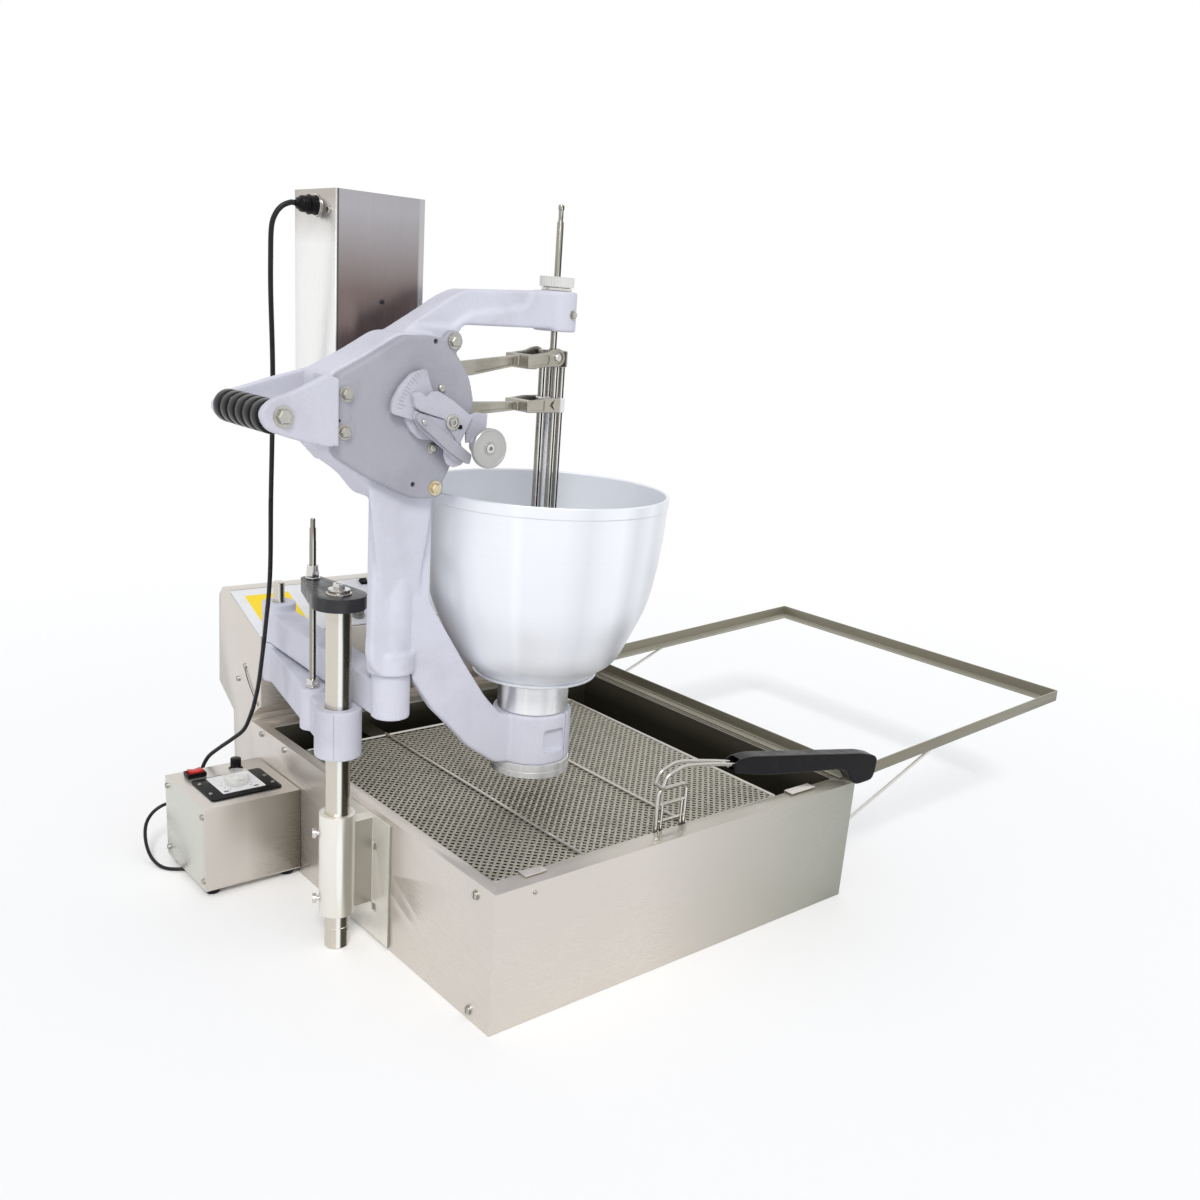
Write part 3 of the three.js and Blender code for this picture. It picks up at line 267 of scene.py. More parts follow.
def prism(outline, low, high):
    """An outline (x, y) in millimetres raised from one height to another."""
    count = len(outline)
    area = sum(a[0] * b[1] - b[0] * a[1] for a, b in zip(outline, outline[1:] + outline[:1]))
    ring = outline if area > 0 else outline[::-1]
    points = [(x * MM, y * MM, low * MM) for x, y in ring] + [(x * MM, y * MM, high * MM) for x, y in ring]
    faces = [tuple(range(count))[::-1], tuple(range(count, 2 * count))]
    faces += [(i, (i + 1) % count, count + (i + 1) % count, count + i) for i in range(count)]
    return Shape().add(points, faces)


def slab(outline, front, back):
    """A front outline (x, z) carried from one depth y to another."""
    stand = Matrix(((1, 0, 0, 0), (0, 0, -1, 0), (0, 1, 0, 0), (0, 0, 0, 1)))
    return prism(outline, -back, -front).moved(stand)


def axle(radius, x, z, front, back, segments=32):
    """A round bar that points forward."""
    return slab(circle(radius, segments, x, z), front, back)


def block(low, high):
    """A block between two corners in millimetres."""
    (x0, y0, z0), (x1, y1, z1) = low, high
    return prism([(x0, y0), (x1, y0), (x1, y1), (x0, y1)], z0, z1)


def ball(radii, place):
    """An egg shape with its own radius on each axis."""
    steps = 24
    profile = [(math.sin(math.pi * i / steps), -math.cos(math.pi * i / steps)) for i in range(steps + 1)]
    profile = [(max(r, 0) / MM, z / MM) for r, z in profile]
    profile[0], profile[-1] = (0, profile[0][1]), (0, profile[-1][1])
    sizes = Matrix.Diagonal((*(Vector(radii) * MM), 1))
    return lathe(profile, 2 * steps).moved(Matrix.Translation(Vector(place) * MM) @ sizes)


def hull(points):
    """The smallest body with no hollow in it that holds all the points, in millimetres."""
    work = bmesh.new()
    for point in points:
        work.verts.new(Vector(point) * MM)
    made = bmesh.ops.convex_hull(work, input=work.verts)
    inside = [part for part in made["geom_interior"] if isinstance(part, bmesh.types.BMVert)]
    bmesh.ops.delete(work, geom=inside, context="VERTS")
    work.verts.index_update()
    faces = [[vert.index for vert in face.verts] for face in work.faces]
    shape = Shape().add([vert.co for vert in work.verts], faces)
    work.free()
    return shape


def smooth_path(points, steps=8):
    """A smooth line through the points."""
    ends = [2 * points[0] - points[1], *points, 2 * points[-1] - points[-2]]
    result = []
    for i in range(1, len(ends) - 2):
        a, b, c, d = ends[i - 1:i + 3]
        for step in range(steps):
            t = step / steps
            result.append(0.5 * (2 * b + (c - a) * t + (2 * a - 5 * b + 4 * c - d) * t ** 2
                                 + (3 * b - a - 3 * c + d) * t ** 3))
    result.append(points[-1].copy())
    return result


def bowed(profile):
    """A smooth line of radii and heights through the given ones."""
    path = smooth_path([Vector((r, z, 0)) for r, z in profile], 10)
    return [(point.x, point.y) for point in path]


def tube(path, radius, sides=12, closed=False):
    """A round bar along a line of points, in metres, with flat ends."""
    count = len(path)
    points = []
    side = None
    for i, point in enumerate(path):
        if closed:
            along = (path[(i + 1) % count] - path[i - 1]).normalized()
        else:
            along = (path[min(i + 1, count - 1)] - path[max(i - 1, 0)]).normalized()
        if side is None:
            side = along.orthogonal()
        side = (side - along * side.dot(along)).normalized()
        other = along.cross(side)
        for k in range(sides):
            angle = 2 * math.pi * k / sides
            points.append(point + (side * math.cos(angle) + other * math.sin(angle)) * radius)
    faces = []
    for i in range(count if closed else count - 1):
        here, there = i * sides, ((i + 1) % count) * sides
        faces += [(here + k, here + (k + 1) % sides, there + (k + 1) % sides, there + k)
                  for k in range(sides)]
    if not closed:
        faces.append(tuple(range(sides))[::-1])
        faces.append(tuple((count - 1) * sides + k for k in range(sides)))
    return Shape().add(points, faces)


def rod(start, end, radius, sides=16):
    """A straight round bar between two points in metres."""
    return tube([Vector(start), Vector(end)], radius, sides)


def facing(direction, place):
    """The placement that points local Z along a direction, at a place."""
    return Matrix.Translation(place) @ Vector(direction).to_track_quat("Z", "Y").to_matrix().to_4x4()


def over(place):
    """The placement of a shape built about Z so that it stands over a place."""
    return Matrix.Translation((place.x, place.y, 0))


def z_turn(degrees):
    """A turn about Z by some degrees."""
    return Matrix.Rotation(math.radians(degrees), 4, "Z")


# ---------------------------------------------------------------- pieces

def new_object(name, mesh):
    made = bpy.data.objects.new(name, mesh)
    bpy.context.scene.collection.objects.link(made)
    return made


def from_shape(name, shape):
    """An object holding the shape, its faces turned outwards."""
    mesh = bpy.data.meshes.new(name)
    mesh.from_pydata([point[:] for point in shape.points], [], shape.faces)
    made = new_object(name, mesh)
    work = bmesh.new()
    work.from_mesh(mesh)
    bmesh.ops.remove_doubles(work, verts=work.verts, dist=1e-7)
    bmesh.ops.recalc_face_normals(work, faces=work.faces)
    work.to_mesh(mesh)
    work.free()
    return made


def from_node(name, *nodes):
    """A merged copy of one or more measured nodes, with whole flat faces."""
    work = bmesh.new()
    for node in nodes:
        work.from_mesh(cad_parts[node].data)
    bmesh.ops.remove_doubles(work, verts=work.verts, dist=4e-6)
    flat = math.radians(0.6)
    bmesh.ops.dissolve_limit(work, angle_limit=flat, verts=work.verts, edges=work.edges, delimit=set())
    mesh = bpy.data.meshes.new(name)
    work.to_mesh(mesh)
    work.free()
    mesh.materials.clear()
    return new_object(name, mesh)


def plain(piece):
    """The piece's modifiers worked into its mesh."""
    shown = piece.evaluated_get(bpy.context.evaluated_depsgraph_get())
    mesh = bpy.data.meshes.new_from_object(shown)
    piece.modifiers.clear()
    piece.data = mesh
    return piece


def cut_away(piece, *shapes):
    """The piece without the shapes, which are cut from it one after another."""
    for number, shape in enumerate(shapes):
        tool = from_shape(f"{piece.name}_tool_{number}", shape)
        step = piece.modifiers.new("cut", "BOOLEAN")
        step.operation = "DIFFERENCE"
        step.solver = "EXACT"
        step.object = tool
        plain(piece)
        bpy.data.objects.remove(tool)
    return piece


def merge_in(piece, shape):
    """More surface added to a piece that is to be skinned over."""
    work = bmesh.new()
    work.from_mesh(piece.data)
    extra = from_shape("part", shape)
    work.from_mesh(extra.data)
    work.to_mesh(piece.data)
    work.free()
    bpy.data.objects.remove(extra)


def soften(piece, width, segments=2, angle=35):
    """Edges rounded by the width."""
    step = piece.modifiers.new("rounded_edges", "BEVEL")
    step.width = width
    step.segments = segments
    step.limit_method = "ANGLE"
    step.angle_limit = math.radians(angle)
    step.use_clamp_overlap = True
    return plain(piece)


def weathered(piece, voxel, passes):
    """A closed skin over everything in the piece, with its edges rounded as a casting's are."""
    skin = piece.modifiers.new("skin", "REMESH")
    skin.mode = "VOXEL"
    skin.voxel_size = voxel
    ease = piece.modifiers.new("ease", "SMOOTH")
    ease.factor = 0.5
    ease.iterations = passes
    return plain(piece)


def finished(piece, material, body, slot, *replaced, angle=32):
    """A piece's last steps: its surface, the body that carries it and the nodes it stands for."""
    piece.data.materials.clear()
    piece.data.materials.append(material)
    piece.data.shade_smooth()
    piece.data.set_sharp_from_angle(angle=math.radians(angle))
    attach(piece, body)
    if replaced:
        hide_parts(*replaced)
    return piece


# ---------------------------------------------------------------- surface effects

COLOUR = "NodeSocketColor"
NUMBER = "NodeSocketFloat"
DIRECTION = "NodeSocketVector"
RESULTS = (("Colour", COLOUR), ("Roughness", NUMBER), ("Height", NUMBER))


def effect(name, inputs):
    """An empty shader group with named inputs, the three results that every effect has, and its ends."""
    group = bpy.data.node_groups.new(name, "ShaderNodeTree")
    for label, kind, default in inputs:
        socket = group.interface.new_socket(label, in_out="INPUT", socket_type=kind)
        socket.default_value = default
    for label, kind in RESULTS:
        group.interface.new_socket(label, in_out="OUTPUT", socket_type=kind)
    return group, group.nodes.new("NodeGroupInput"), group.nodes.new("NodeGroupOutput")


def scaled_noise(tree, vector, scale, detail=2.0):
    """Noise over the vector multiplied by the scale, which is a socket or a number."""
    stretch = tree.nodes.new("ShaderNodeVectorMath")
    stretch.operation = "MULTIPLY"
    tree.links.new(vector, stretch.inputs[0])
    if isinstance(scale, bpy.types.NodeSocket):
        tree.links.new(scale, stretch.inputs[1])
    else:
        stretch.inputs[1].default_value = (scale, scale, scale)
    noise = tree.nodes.new("ShaderNodeTexNoise")
    noise.inputs["Scale"].default_value = 1.0
    noise.inputs["Detail"].default_value = detail
    tree.links.new(stretch.outputs[0], noise.inputs["Vector"])
    return noise.outputs["Fac"]


def spread(tree, value, low, high, to_low=0.0, to_high=1.0):
    """The value's range from low to high laid over another range."""
    step = tree.nodes.new("ShaderNodeMapRange")
    step.inputs["From Min"].default_value = low
    step.inputs["From Max"].default_value = high
    step.inputs["To Min"].default_value = to_low
    step.inputs["To Max"].default_value = to_high
    tree.links.new(value, step.inputs["Value"])
    return step.outputs["Result"]


def calculate(tree, operation, first, second):
    """One step of arithmetic with two numbers, each a socket or a plain value."""
    step = tree.nodes.new("ShaderNodeMath")
    step.operation = operation
    for socket, value in zip(step.inputs, (first, second)):
        if isinstance(value, bpy.types.NodeSocket):
            tree.links.new(value, socket)
        else:
            socket.default_value = value
    return step.outputs[0]


def vector_step(tree, operation, *given, output="Vector"):
    """A step with directions, whose result is a direction or, by output, a number."""
    step = tree.nodes.new("ShaderNodeVectorMath")
    step.operation = operation
    for socket, value in zip(step.inputs, given):
        tree.links.new(value, socket)
    return step.outputs[output]


def mixed(tree, share, first, second):
    """One colour turning into another by a share."""
    step = tree.nodes.new("ShaderNodeMix")
    step.data_type = "RGBA"
    tree.links.new(share, step.inputs["Factor"])
    for socket, value in ((step.inputs[6], first), (step.inputs[7], second)):
        if isinstance(value, bpy.types.NodeSocket):
            tree.links.new(value, socket)
        else:
            socket.default_value = (*value, 1.0)
    return step.outputs[2]


def blotched(tree, start, first, second):
    """The effect's colour turning into its shade by the sum of two shares."""
    share = calculate(tree, "ADD", first, second)
    return mixed(tree, share, start.outputs["Colour"], start.outputs["Shade"])


def uneven(tree, start, value, less, more):
    """The effect's roughness, a little less or more from place to place."""
    return calculate(tree, "ADD", start.outputs["Roughness"], spread(tree, value, 0.3, 0.7, less, more))


def handed_over(tree, end, *results):
    """A finished effect whose colour, roughness and height reach its end."""
    for value, socket in zip(results, end.inputs):
        tree.links.new(value, socket)
    return tree


def object_place(tree):
    return tree.nodes.new("ShaderNodeTexCoord").outputs["Object"]


def brushed_grain():
    """Fine straight scratches along the direction with the smallest scale, over broad soft clouds."""
    tree, start, end = effect("brushed_grain", [
        ("Colour", COLOUR, (0.6, 0.6, 0.6, 1)), ("Shade", COLOUR, (0.5, 0.5, 0.5, 1)),
        ("Grain", DIRECTION, (5, 5, 900)), ("Roughness", NUMBER, 0.3),
    ])
    place = object_place(tree)
    scratch = scaled_noise(tree, place, start.outputs["Grain"], 3.0)
    cloud = scaled_noise(tree, place, 7.0, 3.0)
    colour = blotched(tree, start, spread(tree, scratch, 0.35, 0.7, 0.0, 0.3),
                      spread(tree, cloud, 0.35, 0.75, 0.0, 0.4))
    rough = calculate(tree, "ADD", uneven(tree, start, scratch, -0.05, 0.06),
                      spread(tree, cloud, 0.3, 0.7, -0.05, 0.07))
    return handed_over(tree, end, colour, rough, scratch)


def cast_skin():
    """The fine pimples of a sand casting, with faint broad stains."""
    tree, start, end = effect("cast_skin", [
        ("Colour", COLOUR, (0.6, 0.6, 0.66, 1)), ("Shade", COLOUR, (0.4, 0.4, 0.46, 1)),
        ("Roughness", NUMBER, 0.5),
    ])
    place = object_place(tree)
    pimples = scaled_noise(tree, place, 700.0, 3.0)
    waves = scaled_noise(tree, place, 120.0, 2.0)
    stains = scaled_noise(tree, place, 16.0, 4.0)
    colour = blotched(tree, start, spread(tree, pimples, 0.4, 0.75, 0.0, 0.28),
                      spread(tree, stains, 0.5, 0.78, 0.0, 0.5))
    height = calculate(tree, "ADD", calculate(tree, "MULTIPLY", pimples, 0.55), waves)
    return handed_over(tree, end, colour, uneven(tree, start, stains, -0.06, 0.08), height)


# Painted reflection bands down a turned piece: places across it, from one side at 0 to the other at 1, and
# how dark the painted reflection makes each.
PAINTED_SIDE_REFLECTIONS = ((0.01, 1.0), (0.08, 0.9), (0.13, 0.35), (0.18, 0.10), (0.24, 0.03), (0.33, 0.10),
                (0.41, 0.10), (0.44, 0.0), (0.47, 0.12), (0.62, 0.14), (0.71, 0.30), (0.77, 0.12),
                (0.83, 0.04), (0.885, 0.32), (0.93, 0.10), (0.96, 0.28), (0.99, 0.1))


def side_streaks(tree, start, around):
    """How far the painted reflection bands down a turned piece's outside darken it, by the side that a place
    faces.
    """
    normal = tree.nodes.new("ShaderNodeTexCoord").outputs["Normal"]
    aside = vector_step(tree, "DOT_PRODUCT", normal, start.outputs["Side"], output="Value")
    across = vector_step(tree, "CROSS_PRODUCT", normal, start.outputs["Axis"])
    outward = vector_step(tree, "DOT_PRODUCT", around, across, output="Value")
    outside = calculate(tree, "GREATER_THAN", outward, 0.0)
    reflection_ramp = tree.nodes.new("ShaderNodeValToRGB")
    ramp = reflection_ramp.color_ramp
    for at, level in PAINTED_SIDE_REFLECTIONS:
        stop = ramp.elements.new(at)
        stop.color = (level, level, level, 1)
    ramp.elements.remove(ramp.elements[0])
    ramp.elements.remove(ramp.elements[-1])
    tree.links.new(spread(tree, aside, -1.0, 1.0), reflection_ramp.inputs["Fac"])
    return calculate(tree, "MULTIPLY", reflection_ramp.outputs["Color"], outside)


def turning_rings():
    """The rings that a lathe tool leaves about an axis through the centre, with painted reflection bands that
    darken the outside by the side each place faces.
    """
    tree, start, end = effect("turning_rings", [
        ("Colour", COLOUR, (0.7, 0.7, 0.7, 1)), ("Shade", COLOUR, (0.5, 0.5, 0.5, 1)),
        ("Centre", DIRECTION, (0, 0, 0)), ("Axis", DIRECTION, (0, 0, 1)), ("Roughness", NUMBER, 0.25),
        ("Rings", NUMBER, 900.0), ("Side", DIRECTION, (0, 0, 0)), ("Side Colour", COLOUR, (0.2, 0.2, 0.2, 1)),
    ])
    place = object_place(tree)
    offset = vector_step(tree, "SUBTRACT", place, start.outputs["Centre"])
    height = vector_step(tree, "DOT_PRODUCT", offset, start.outputs["Axis"], output="Value")
    around = vector_step(tree, "CROSS_PRODUCT", offset, start.outputs["Axis"])
    reach = vector_step(tree, "LENGTH", around, output="Value")
    ring = tree.nodes.new("ShaderNodeCombineXYZ")
    for socket, distance in zip(ring.inputs, (reach, height)):
        tree.links.new(calculate(tree, "MULTIPLY", distance, start.outputs["Rings"]), socket)
    tool = tree.nodes.new("ShaderNodeTexNoise")
    tool.inputs["Scale"].default_value = 1.0
    tree.links.new(ring.outputs[0], tool.inputs["Vector"])
    cloud = scaled_noise(tree, place, 14.0, 3.0)
    ringed = blotched(tree, start, spread(tree, tool.outputs["Fac"], 0.35, 0.7, 0.0, 0.4),
                      spread(tree, cloud, 0.4, 0.75, 0.0, 0.3))
    # Painted reflection: the outside turns towards the reflection colour in bands, by the side that each
    # place faces.
    colour = mixed(tree, side_streaks(tree, start, around), ringed, start.outputs["Side Colour"])
    return handed_over(tree, end, colour, uneven(tree, start, cloud, -0.04, 0.06), tool.outputs["Fac"])


def moulded_skin():
    """The faint texture of a moulded surface, with dust and rubbed places."""
    tree, start, end = effect("moulded_skin", [
        ("Colour", COLOUR, (0.1, 0.1, 0.1, 1)), ("Shade", COLOUR, (0.2, 0.2, 0.2, 1)),
        ("Roughness", NUMBER, 0.45),
    ])
    place = object_place(tree)
    texture = scaled_noise(tree, place, 1600.0, 2.0)
    dust = scaled_noise(tree, place, 55.0, 4.0)
    colour = blotched(tree, start, spread(tree, texture, 0.4, 0.8, 0.0, 0.25),
                      spread(tree, dust, 0.48, 0.75, 0.0, 0.45))
    return handed_over(tree, end, colour, uneven(tree, start, dust, -0.08, 0.1), texture)


def bar_sheen():
    """The painted reflection along an upright ground bar: a dark band and a painted highlight, by the way
    each face looks.
    """
    tree, start, end = effect("bar_sheen", [
        ("Colour", COLOUR, (0.6, 0.6, 0.6, 1)), ("Shade", COLOUR, (0.05, 0.05, 0.04, 1)),
        ("Glint", COLOUR, (0.9, 0.9, 0.88, 1)), ("Dark Side", DIRECTION, (0.17, -0.985, 0)),
        ("Bright Side", DIRECTION, (-0.34, -0.94, 0)), ("Roughness", NUMBER, 0.2),
    ])
    coordinates = tree.nodes.new("ShaderNodeTexCoord")

    def towards(side):
        along = vector_step(tree, "DOT_PRODUCT", coordinates.outputs["Normal"], start.outputs[side],
                            output="Value")
        return calculate(tree, "MULTIPLY", along, along)

    # Painted reflection: faces turned to the Dark Side take the dark Shade, and faces turned to the Bright
    # Side take the painted highlight.
    dark = spread(tree, towards("Dark Side"), 0.80, 0.95)
    bright = spread(tree, towards("Bright Side"), 0.955, 0.99)
    stain = scaled_noise(tree, coordinates.outputs["Object"], 60.0, 4.0)
    base = mixed(tree, dark, start.outputs["Colour"], start.outputs["Shade"])
    colour = mixed(tree, bright, base, start.outputs["Glint"])
    return handed_over(tree, end, colour, uneven(tree, start, stain, -0.05, 0.08), stain)


EFFECTS = {"brushed_grain": brushed_grain, "cast_skin": cast_skin, "turning_rings": turning_rings,
           "moulded_skin": moulded_skin, "bar_sheen": bar_sheen}


# ---------------------------------------------------------------- materials

def surface(name, skin, colour, shade, roughness, bump, metallic=0.0, coat=0.0, ior=1.45, **sizes):
    """A material whose colour, roughness and relief come from one of the shared effects."""
    if name in bpy.data.materials:
        return bpy.data.materials[name]
    made = bpy.data.materials.new(name)
    made.use_nodes = True
    tree = made.node_tree
    shader = tree.nodes["Principled BSDF"]
    shader.inputs["Metallic"].default_value = metallic
    shader.inputs["Coat Weight"].default_value = coat
    shader.inputs["IOR"].default_value = ior
    group = tree.nodes.new("ShaderNodeGroup")
    group.node_tree = bpy.data.node_groups.get(skin) or EFFECTS[skin]()
    group.inputs["Colour"].default_value = (*colour, 1)
    group.inputs["Shade"].default_value = (*shade, 1)
    group.inputs["Roughness"].default_value = roughness
    for label, value in sizes.items():
        group.inputs[label].default_value = value
    tree.links.new(group.outputs["Colour"], shader.inputs["Base Color"])
    tree.links.new(group.outputs["Roughness"], shader.inputs["Roughness"])
    relief = tree.nodes.new("ShaderNodeBump")
    relief.inputs["Strength"].default_value = 1.0
    relief.inputs["Distance"].default_value = bump
    tree.links.new(group.outputs["Height"], relief.inputs["Height"])
    tree.links.new(relief.outputs["Normal"], shader.inputs["Normal"])
    return made


def darker(colour, share):
    return tuple(part * share for part in colour)


def made_once(build):
    """A look whose material bears the function's name and is made only the first time."""
    def look():
        return bpy.data.materials.get(build.__name__) or build(build.__name__)
    return look


# Faces by the axis that they look along, and the axes that a colour can change along.
LEFT_AND_RIGHT, FRONT_AND_BACK, LEVEL_FACES = range(3)
RIGHTWARDS, UPWARDS = 0, 2
TANK_RIM = 180 * MM


def shaded(made, facing_axis, run_axis, first, last, colour, above=-1.0):
    """A material whose faces along one axis turn into another colour between two places along a run."""
    tree = made.node_tree
    shader = tree.nodes["Principled BSDF"]
    base = shader.inputs["Base Color"].links[0].from_socket
    coordinates = tree.nodes.new("ShaderNodeTexCoord")
    place, normal = tree.nodes.new("ShaderNodeSeparateXYZ"), tree.nodes.new("ShaderNodeSeparateXYZ")
    tree.links.new(coordinates.outputs["Object"], place.inputs[0])
    tree.links.new(coordinates.outputs["Normal"], normal.inputs[0])
    facing_share = calculate(tree, "MULTIPLY", normal.outputs[facing_axis], normal.outputs[facing_axis])
    share = calculate(tree, "MULTIPLY", spread(tree, facing_share, 0.4, 0.8),
                      spread(tree, place.outputs[run_axis], first, last))
    share = calculate(tree, "MULTIPLY", share,
                      calculate(tree, "GREATER_THAN", place.outputs[UPWARDS], above))
    tree.links.new(mixed(tree, share, base, colour), shader.inputs["Base Color"])
    return made


def brushed_steel(name="brushed_steel", grain=(9, 9, 1800), tone=1.0):
    colour = darker(settings().sheet.colour, tone)
    return surface(name, "brushed_grain", colour, darker(colour, 0.92), 0.30, 0.006 * MM, metallic=0.75,
                   Grain=grain)


@made_once
def fryer_steel(name):
    """The casing's steel with painted shade: its front and back darker and greener to the right, and its
    level faces, the rim's top among them, darker to the right.
    """
    made = brushed_steel(name)
    left, right = FRYER_LOW.x, FRYER_HIGH.x
    shaded(made, FRONT_AND_BACK, RIGHTWARDS, left + 240 * MM, right, (0.34, 0.345, 0.295))
    return shaded(made, LEVEL_FACES, RIGHTWARDS, left - 100 * MM, right - 60 * MM, (0.42, 0.40, 0.335))


@made_once
def box_steel(name):
    """The control box's steel: its left and right sides one even pale colour, and painted shade that darkens
    its front and back to the right.
    """
    made = brushed_steel(name, (7, 7, 1000), 0.97)
    low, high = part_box("control_box_casing")
    shaded(made, LEFT_AND_RIGHT, UPWARDS, low.z - 2 * MM, low.z - 1 * MM, (0.63, 0.63, 0.57))
    return shaded(made, FRONT_AND_BACK, RIGHTWARDS, low.x + 62 * MM, high.x, (0.14, 0.13, 0.10))


@made_once
def drain_steel(name):
    """The drain frame's steel: olive on its sides, with painted light that makes its upper level faces paler.
    """
    made = surface(name, "brushed_grain", (0.26, 0.245, 0.19), (0.20, 0.19, 0.145), 0.34, 0.006 * MM,
                   metallic=0.7, Grain=(7, 7, 900))
    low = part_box("drain_frame")[0]
    return shaded(made, LEVEL_FACES, UPWARDS, low.z + 6 * MM, low.z + 12 * MM, (0.50, 0.485, 0.42))


@made_once
def housing_steel(name):
    """Upright brushed steel for the motor's housing, with painted light and shade: a painted reflection that
    darkens its front and back downwards, painted highlights along their edges, and pale sides with painted
    shade towards their top and bottom.
    """
    made = surface(name, "brushed_grain", (0.44, 0.43, 0.455), (0.36, 0.35, 0.37), 0.32, 0.006 * MM,
                   metallic=0.85, Grain=(1500, 1500, 8))
    low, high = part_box("motor_housing")
    shaded(made, FRONT_AND_BACK, UPWARDS, 935 * MM, 845 * MM, (0.205, 0.16, 0.15))
    # Painted highlights along the right and left edges of the front and back, with a painted dark line just
    # inside the left one.
    for first, last, colour in ((high.x - 8 * MM, high.x - 6 * MM, (0.50, 0.49, 0.50)),
                                (low.x + 4 * MM, low.x + 3 * MM, (0.10, 0.095, 0.09)),
                                (low.x + 1.4 * MM, low.x + 1.2 * MM, (0.80, 0.80, 0.80))):
        shaded(made, FRONT_AND_BACK, RIGHTWARDS, first, last, colour)
    # Painted light on the sides: pale all over, with painted shade towards their bottom and top.
    for first, last, colour in ((low.z - 2 * MM, low.z - 1 * MM, (0.90, 0.90, 0.89)),
                                (low.z + 60 * MM, low.z + 8 * MM, (0.56, 0.54, 0.50)),
                                (high.z - 60 * MM, high.z - 8 * MM, (0.50, 0.46, 0.42))):
        shaded(made, LEFT_AND_RIGHT, UPWARDS, first, last, colour)
    return made


@made_once
def oiled_steel(name):
    """Steel under a film of old oil, with painted shade that makes its walls darker further down; its level
    faces above the rim are plain steel, painted darker to the right as painted shade.
    """
    colour = settings().sheet.tank_colour[:]
    made = surface(name, "brushed_grain", colour, darker(colour, 0.6), 0.4, 0.02 * MM, metallic=0.6,
                   Grain=(9, 9, 500))
    # Painted shade: the tank's walls darker further down.
    for walls in (LEFT_AND_RIGHT, FRONT_AND_BACK):
        shaded(made, walls, UPWARDS, 148 * MM, 176 * MM, (0.075, 0.069, 0.048))
    shaded(made, LEVEL_FACES, UPWARDS, TANK_RIM, TANK_RIM + 1 * MM, (0.60, 0.575, 0.525))
    # Painted shade: the level faces above the rim darker to the right.
    return shaded(made, LEVEL_FACES, RIGHTWARDS, FRYER_LOW.x + 20 * MM, FRYER_HIGH.x - 60 * MM,
                  (0.32, 0.305, 0.27), TANK_RIM + 1 * MM)


def bright_steel():
    return surface("polished_steel", "brushed_grain", (0.74, 0.725, 0.695), (0.52, 0.505, 0.47), 0.2,
                   0.01 * MM, metallic=1.0, Grain=(300, 300, 25))


def wire_rod_steel():
    """Drawn wire, with a painted reflection: a dark band and a painted highlight, by the way each face looks.
    """
    return surface("wire_rod_steel", "bar_sheen", (0.56, 0.545, 0.50), (0.16, 0.15, 0.12), 0.22, 0.01 * MM,
                   metallic=1.0)


# The column's ground steel, with a painted reflection: a dark band and a painted highlight down the bar.
def column_steel():
    return surface("ground_steel", "bar_sheen", (0.64, 0.60, 0.52), (0.07, 0.07, 0.05), 0.22, 0.01 * MM,
                   metallic=0.85)


# Rod steel, with a painted reflection: a dark band and a painted highlight down each rod.
def rod_steel():
    return surface("rod_steel", "bar_sheen", (0.33, 0.315, 0.275), (0.03, 0.028, 0.024), 0.22, 0.01 * MM,
                   metallic=0.85)


# The clamp's steel, with a painted reflection: a darker band and a painted highlight, by the way each face
# looks.
def clamp_steel():
    return surface("clamp_steel", "bar_sheen", (0.80, 0.78, 0.72), (0.36, 0.345, 0.295), 0.34, 0.01 * MM,
                   metallic=0.5)


def lever_steel():
    return surface("forged_steel", "cast_skin", (0.46, 0.44, 0.385), (0.20, 0.19, 0.155), 0.34, 0.08 * MM,
                   metallic=0.95)


def wire_steel():
    colour = settings().screen.colour[:]
    return surface("woven_wire", "moulded_skin", colour, darker(colour, 0.55), 0.34, 0.02 * MM, metallic=0.75)


# A tone below one gives a darker copy of the same cast colour: painted shade for a piece that lies in more
# shade than the rest.
def cast_aluminium(name="casting", tone=1.0):
    colour = darker(settings().casting.colour, tone)
    return surface(name, "cast_skin", colour, darker(colour, 0.70), 0.72, 0.22 * MM, metallic=0.1)


# Painted shade: the adjuster's pieces get a darker copy of the cast colour.
def adjuster_aluminium():
    return cast_aluminium("adjuster_aluminium", 0.8)


# The level direction that the painted reflection bands of turned pieces follow each other in.
ACROSS = (0.748, -0.663, 0)


# Painted reflection: dark bands down the sides of the turned pieces, towards a near-black.
def turned_aluminium():
    return surface("turned_aluminium", "turning_rings", (0.97, 0.97, 0.98), (0.80, 0.80, 0.82), 0.26,
                   0.02 * MM, metallic=0.6, Centre=(NOZZLE.x, NOZZLE.y, 0), Rings=1100, Side=ACROSS,
                   **{"Side Colour": (0.20, 0.20, 0.23, 1)})


def turned_disc(centre):
    return surface("turned_disc", "turning_rings", (0.50, 0.50, 0.49), (0.34, 0.34, 0.33), 0.32, 0.02 * MM,
                   metallic=0.55, Centre=tuple(centre), Axis=(0, 1, 0), Rings=1100)


def pale_aluminium():
    return surface("pale_aluminium", "cast_skin", (0.72, 0.72, 0.70), (0.55, 0.55, 0.53), 0.4, 0.05 * MM,
                   metallic=0.3)


# The bowl's painted reflection: dark blue-grey bands down its sides, laid out by the reflection ramp of
# turning_rings.
def spun_aluminium():
    colour = settings().hopper.colour[:]
    return surface("spun_bowl", "turning_rings", colour, darker(colour, 0.965), 0.34, 0.008 * MM,
                   metallic=0.3, Centre=(NOZZLE.x, NOZZLE.y, 0), Rings=420, Side=ACROSS,
                   **{"Side Colour": (0.40, 0.41, 0.47, 1)})


def black_plastic():
    return surface("black_moulding", "moulded_skin", (0.004, 0.004, 0.005), (0.010, 0.010, 0.011), 0.28,
                   0.02 * MM, ior=1.25)


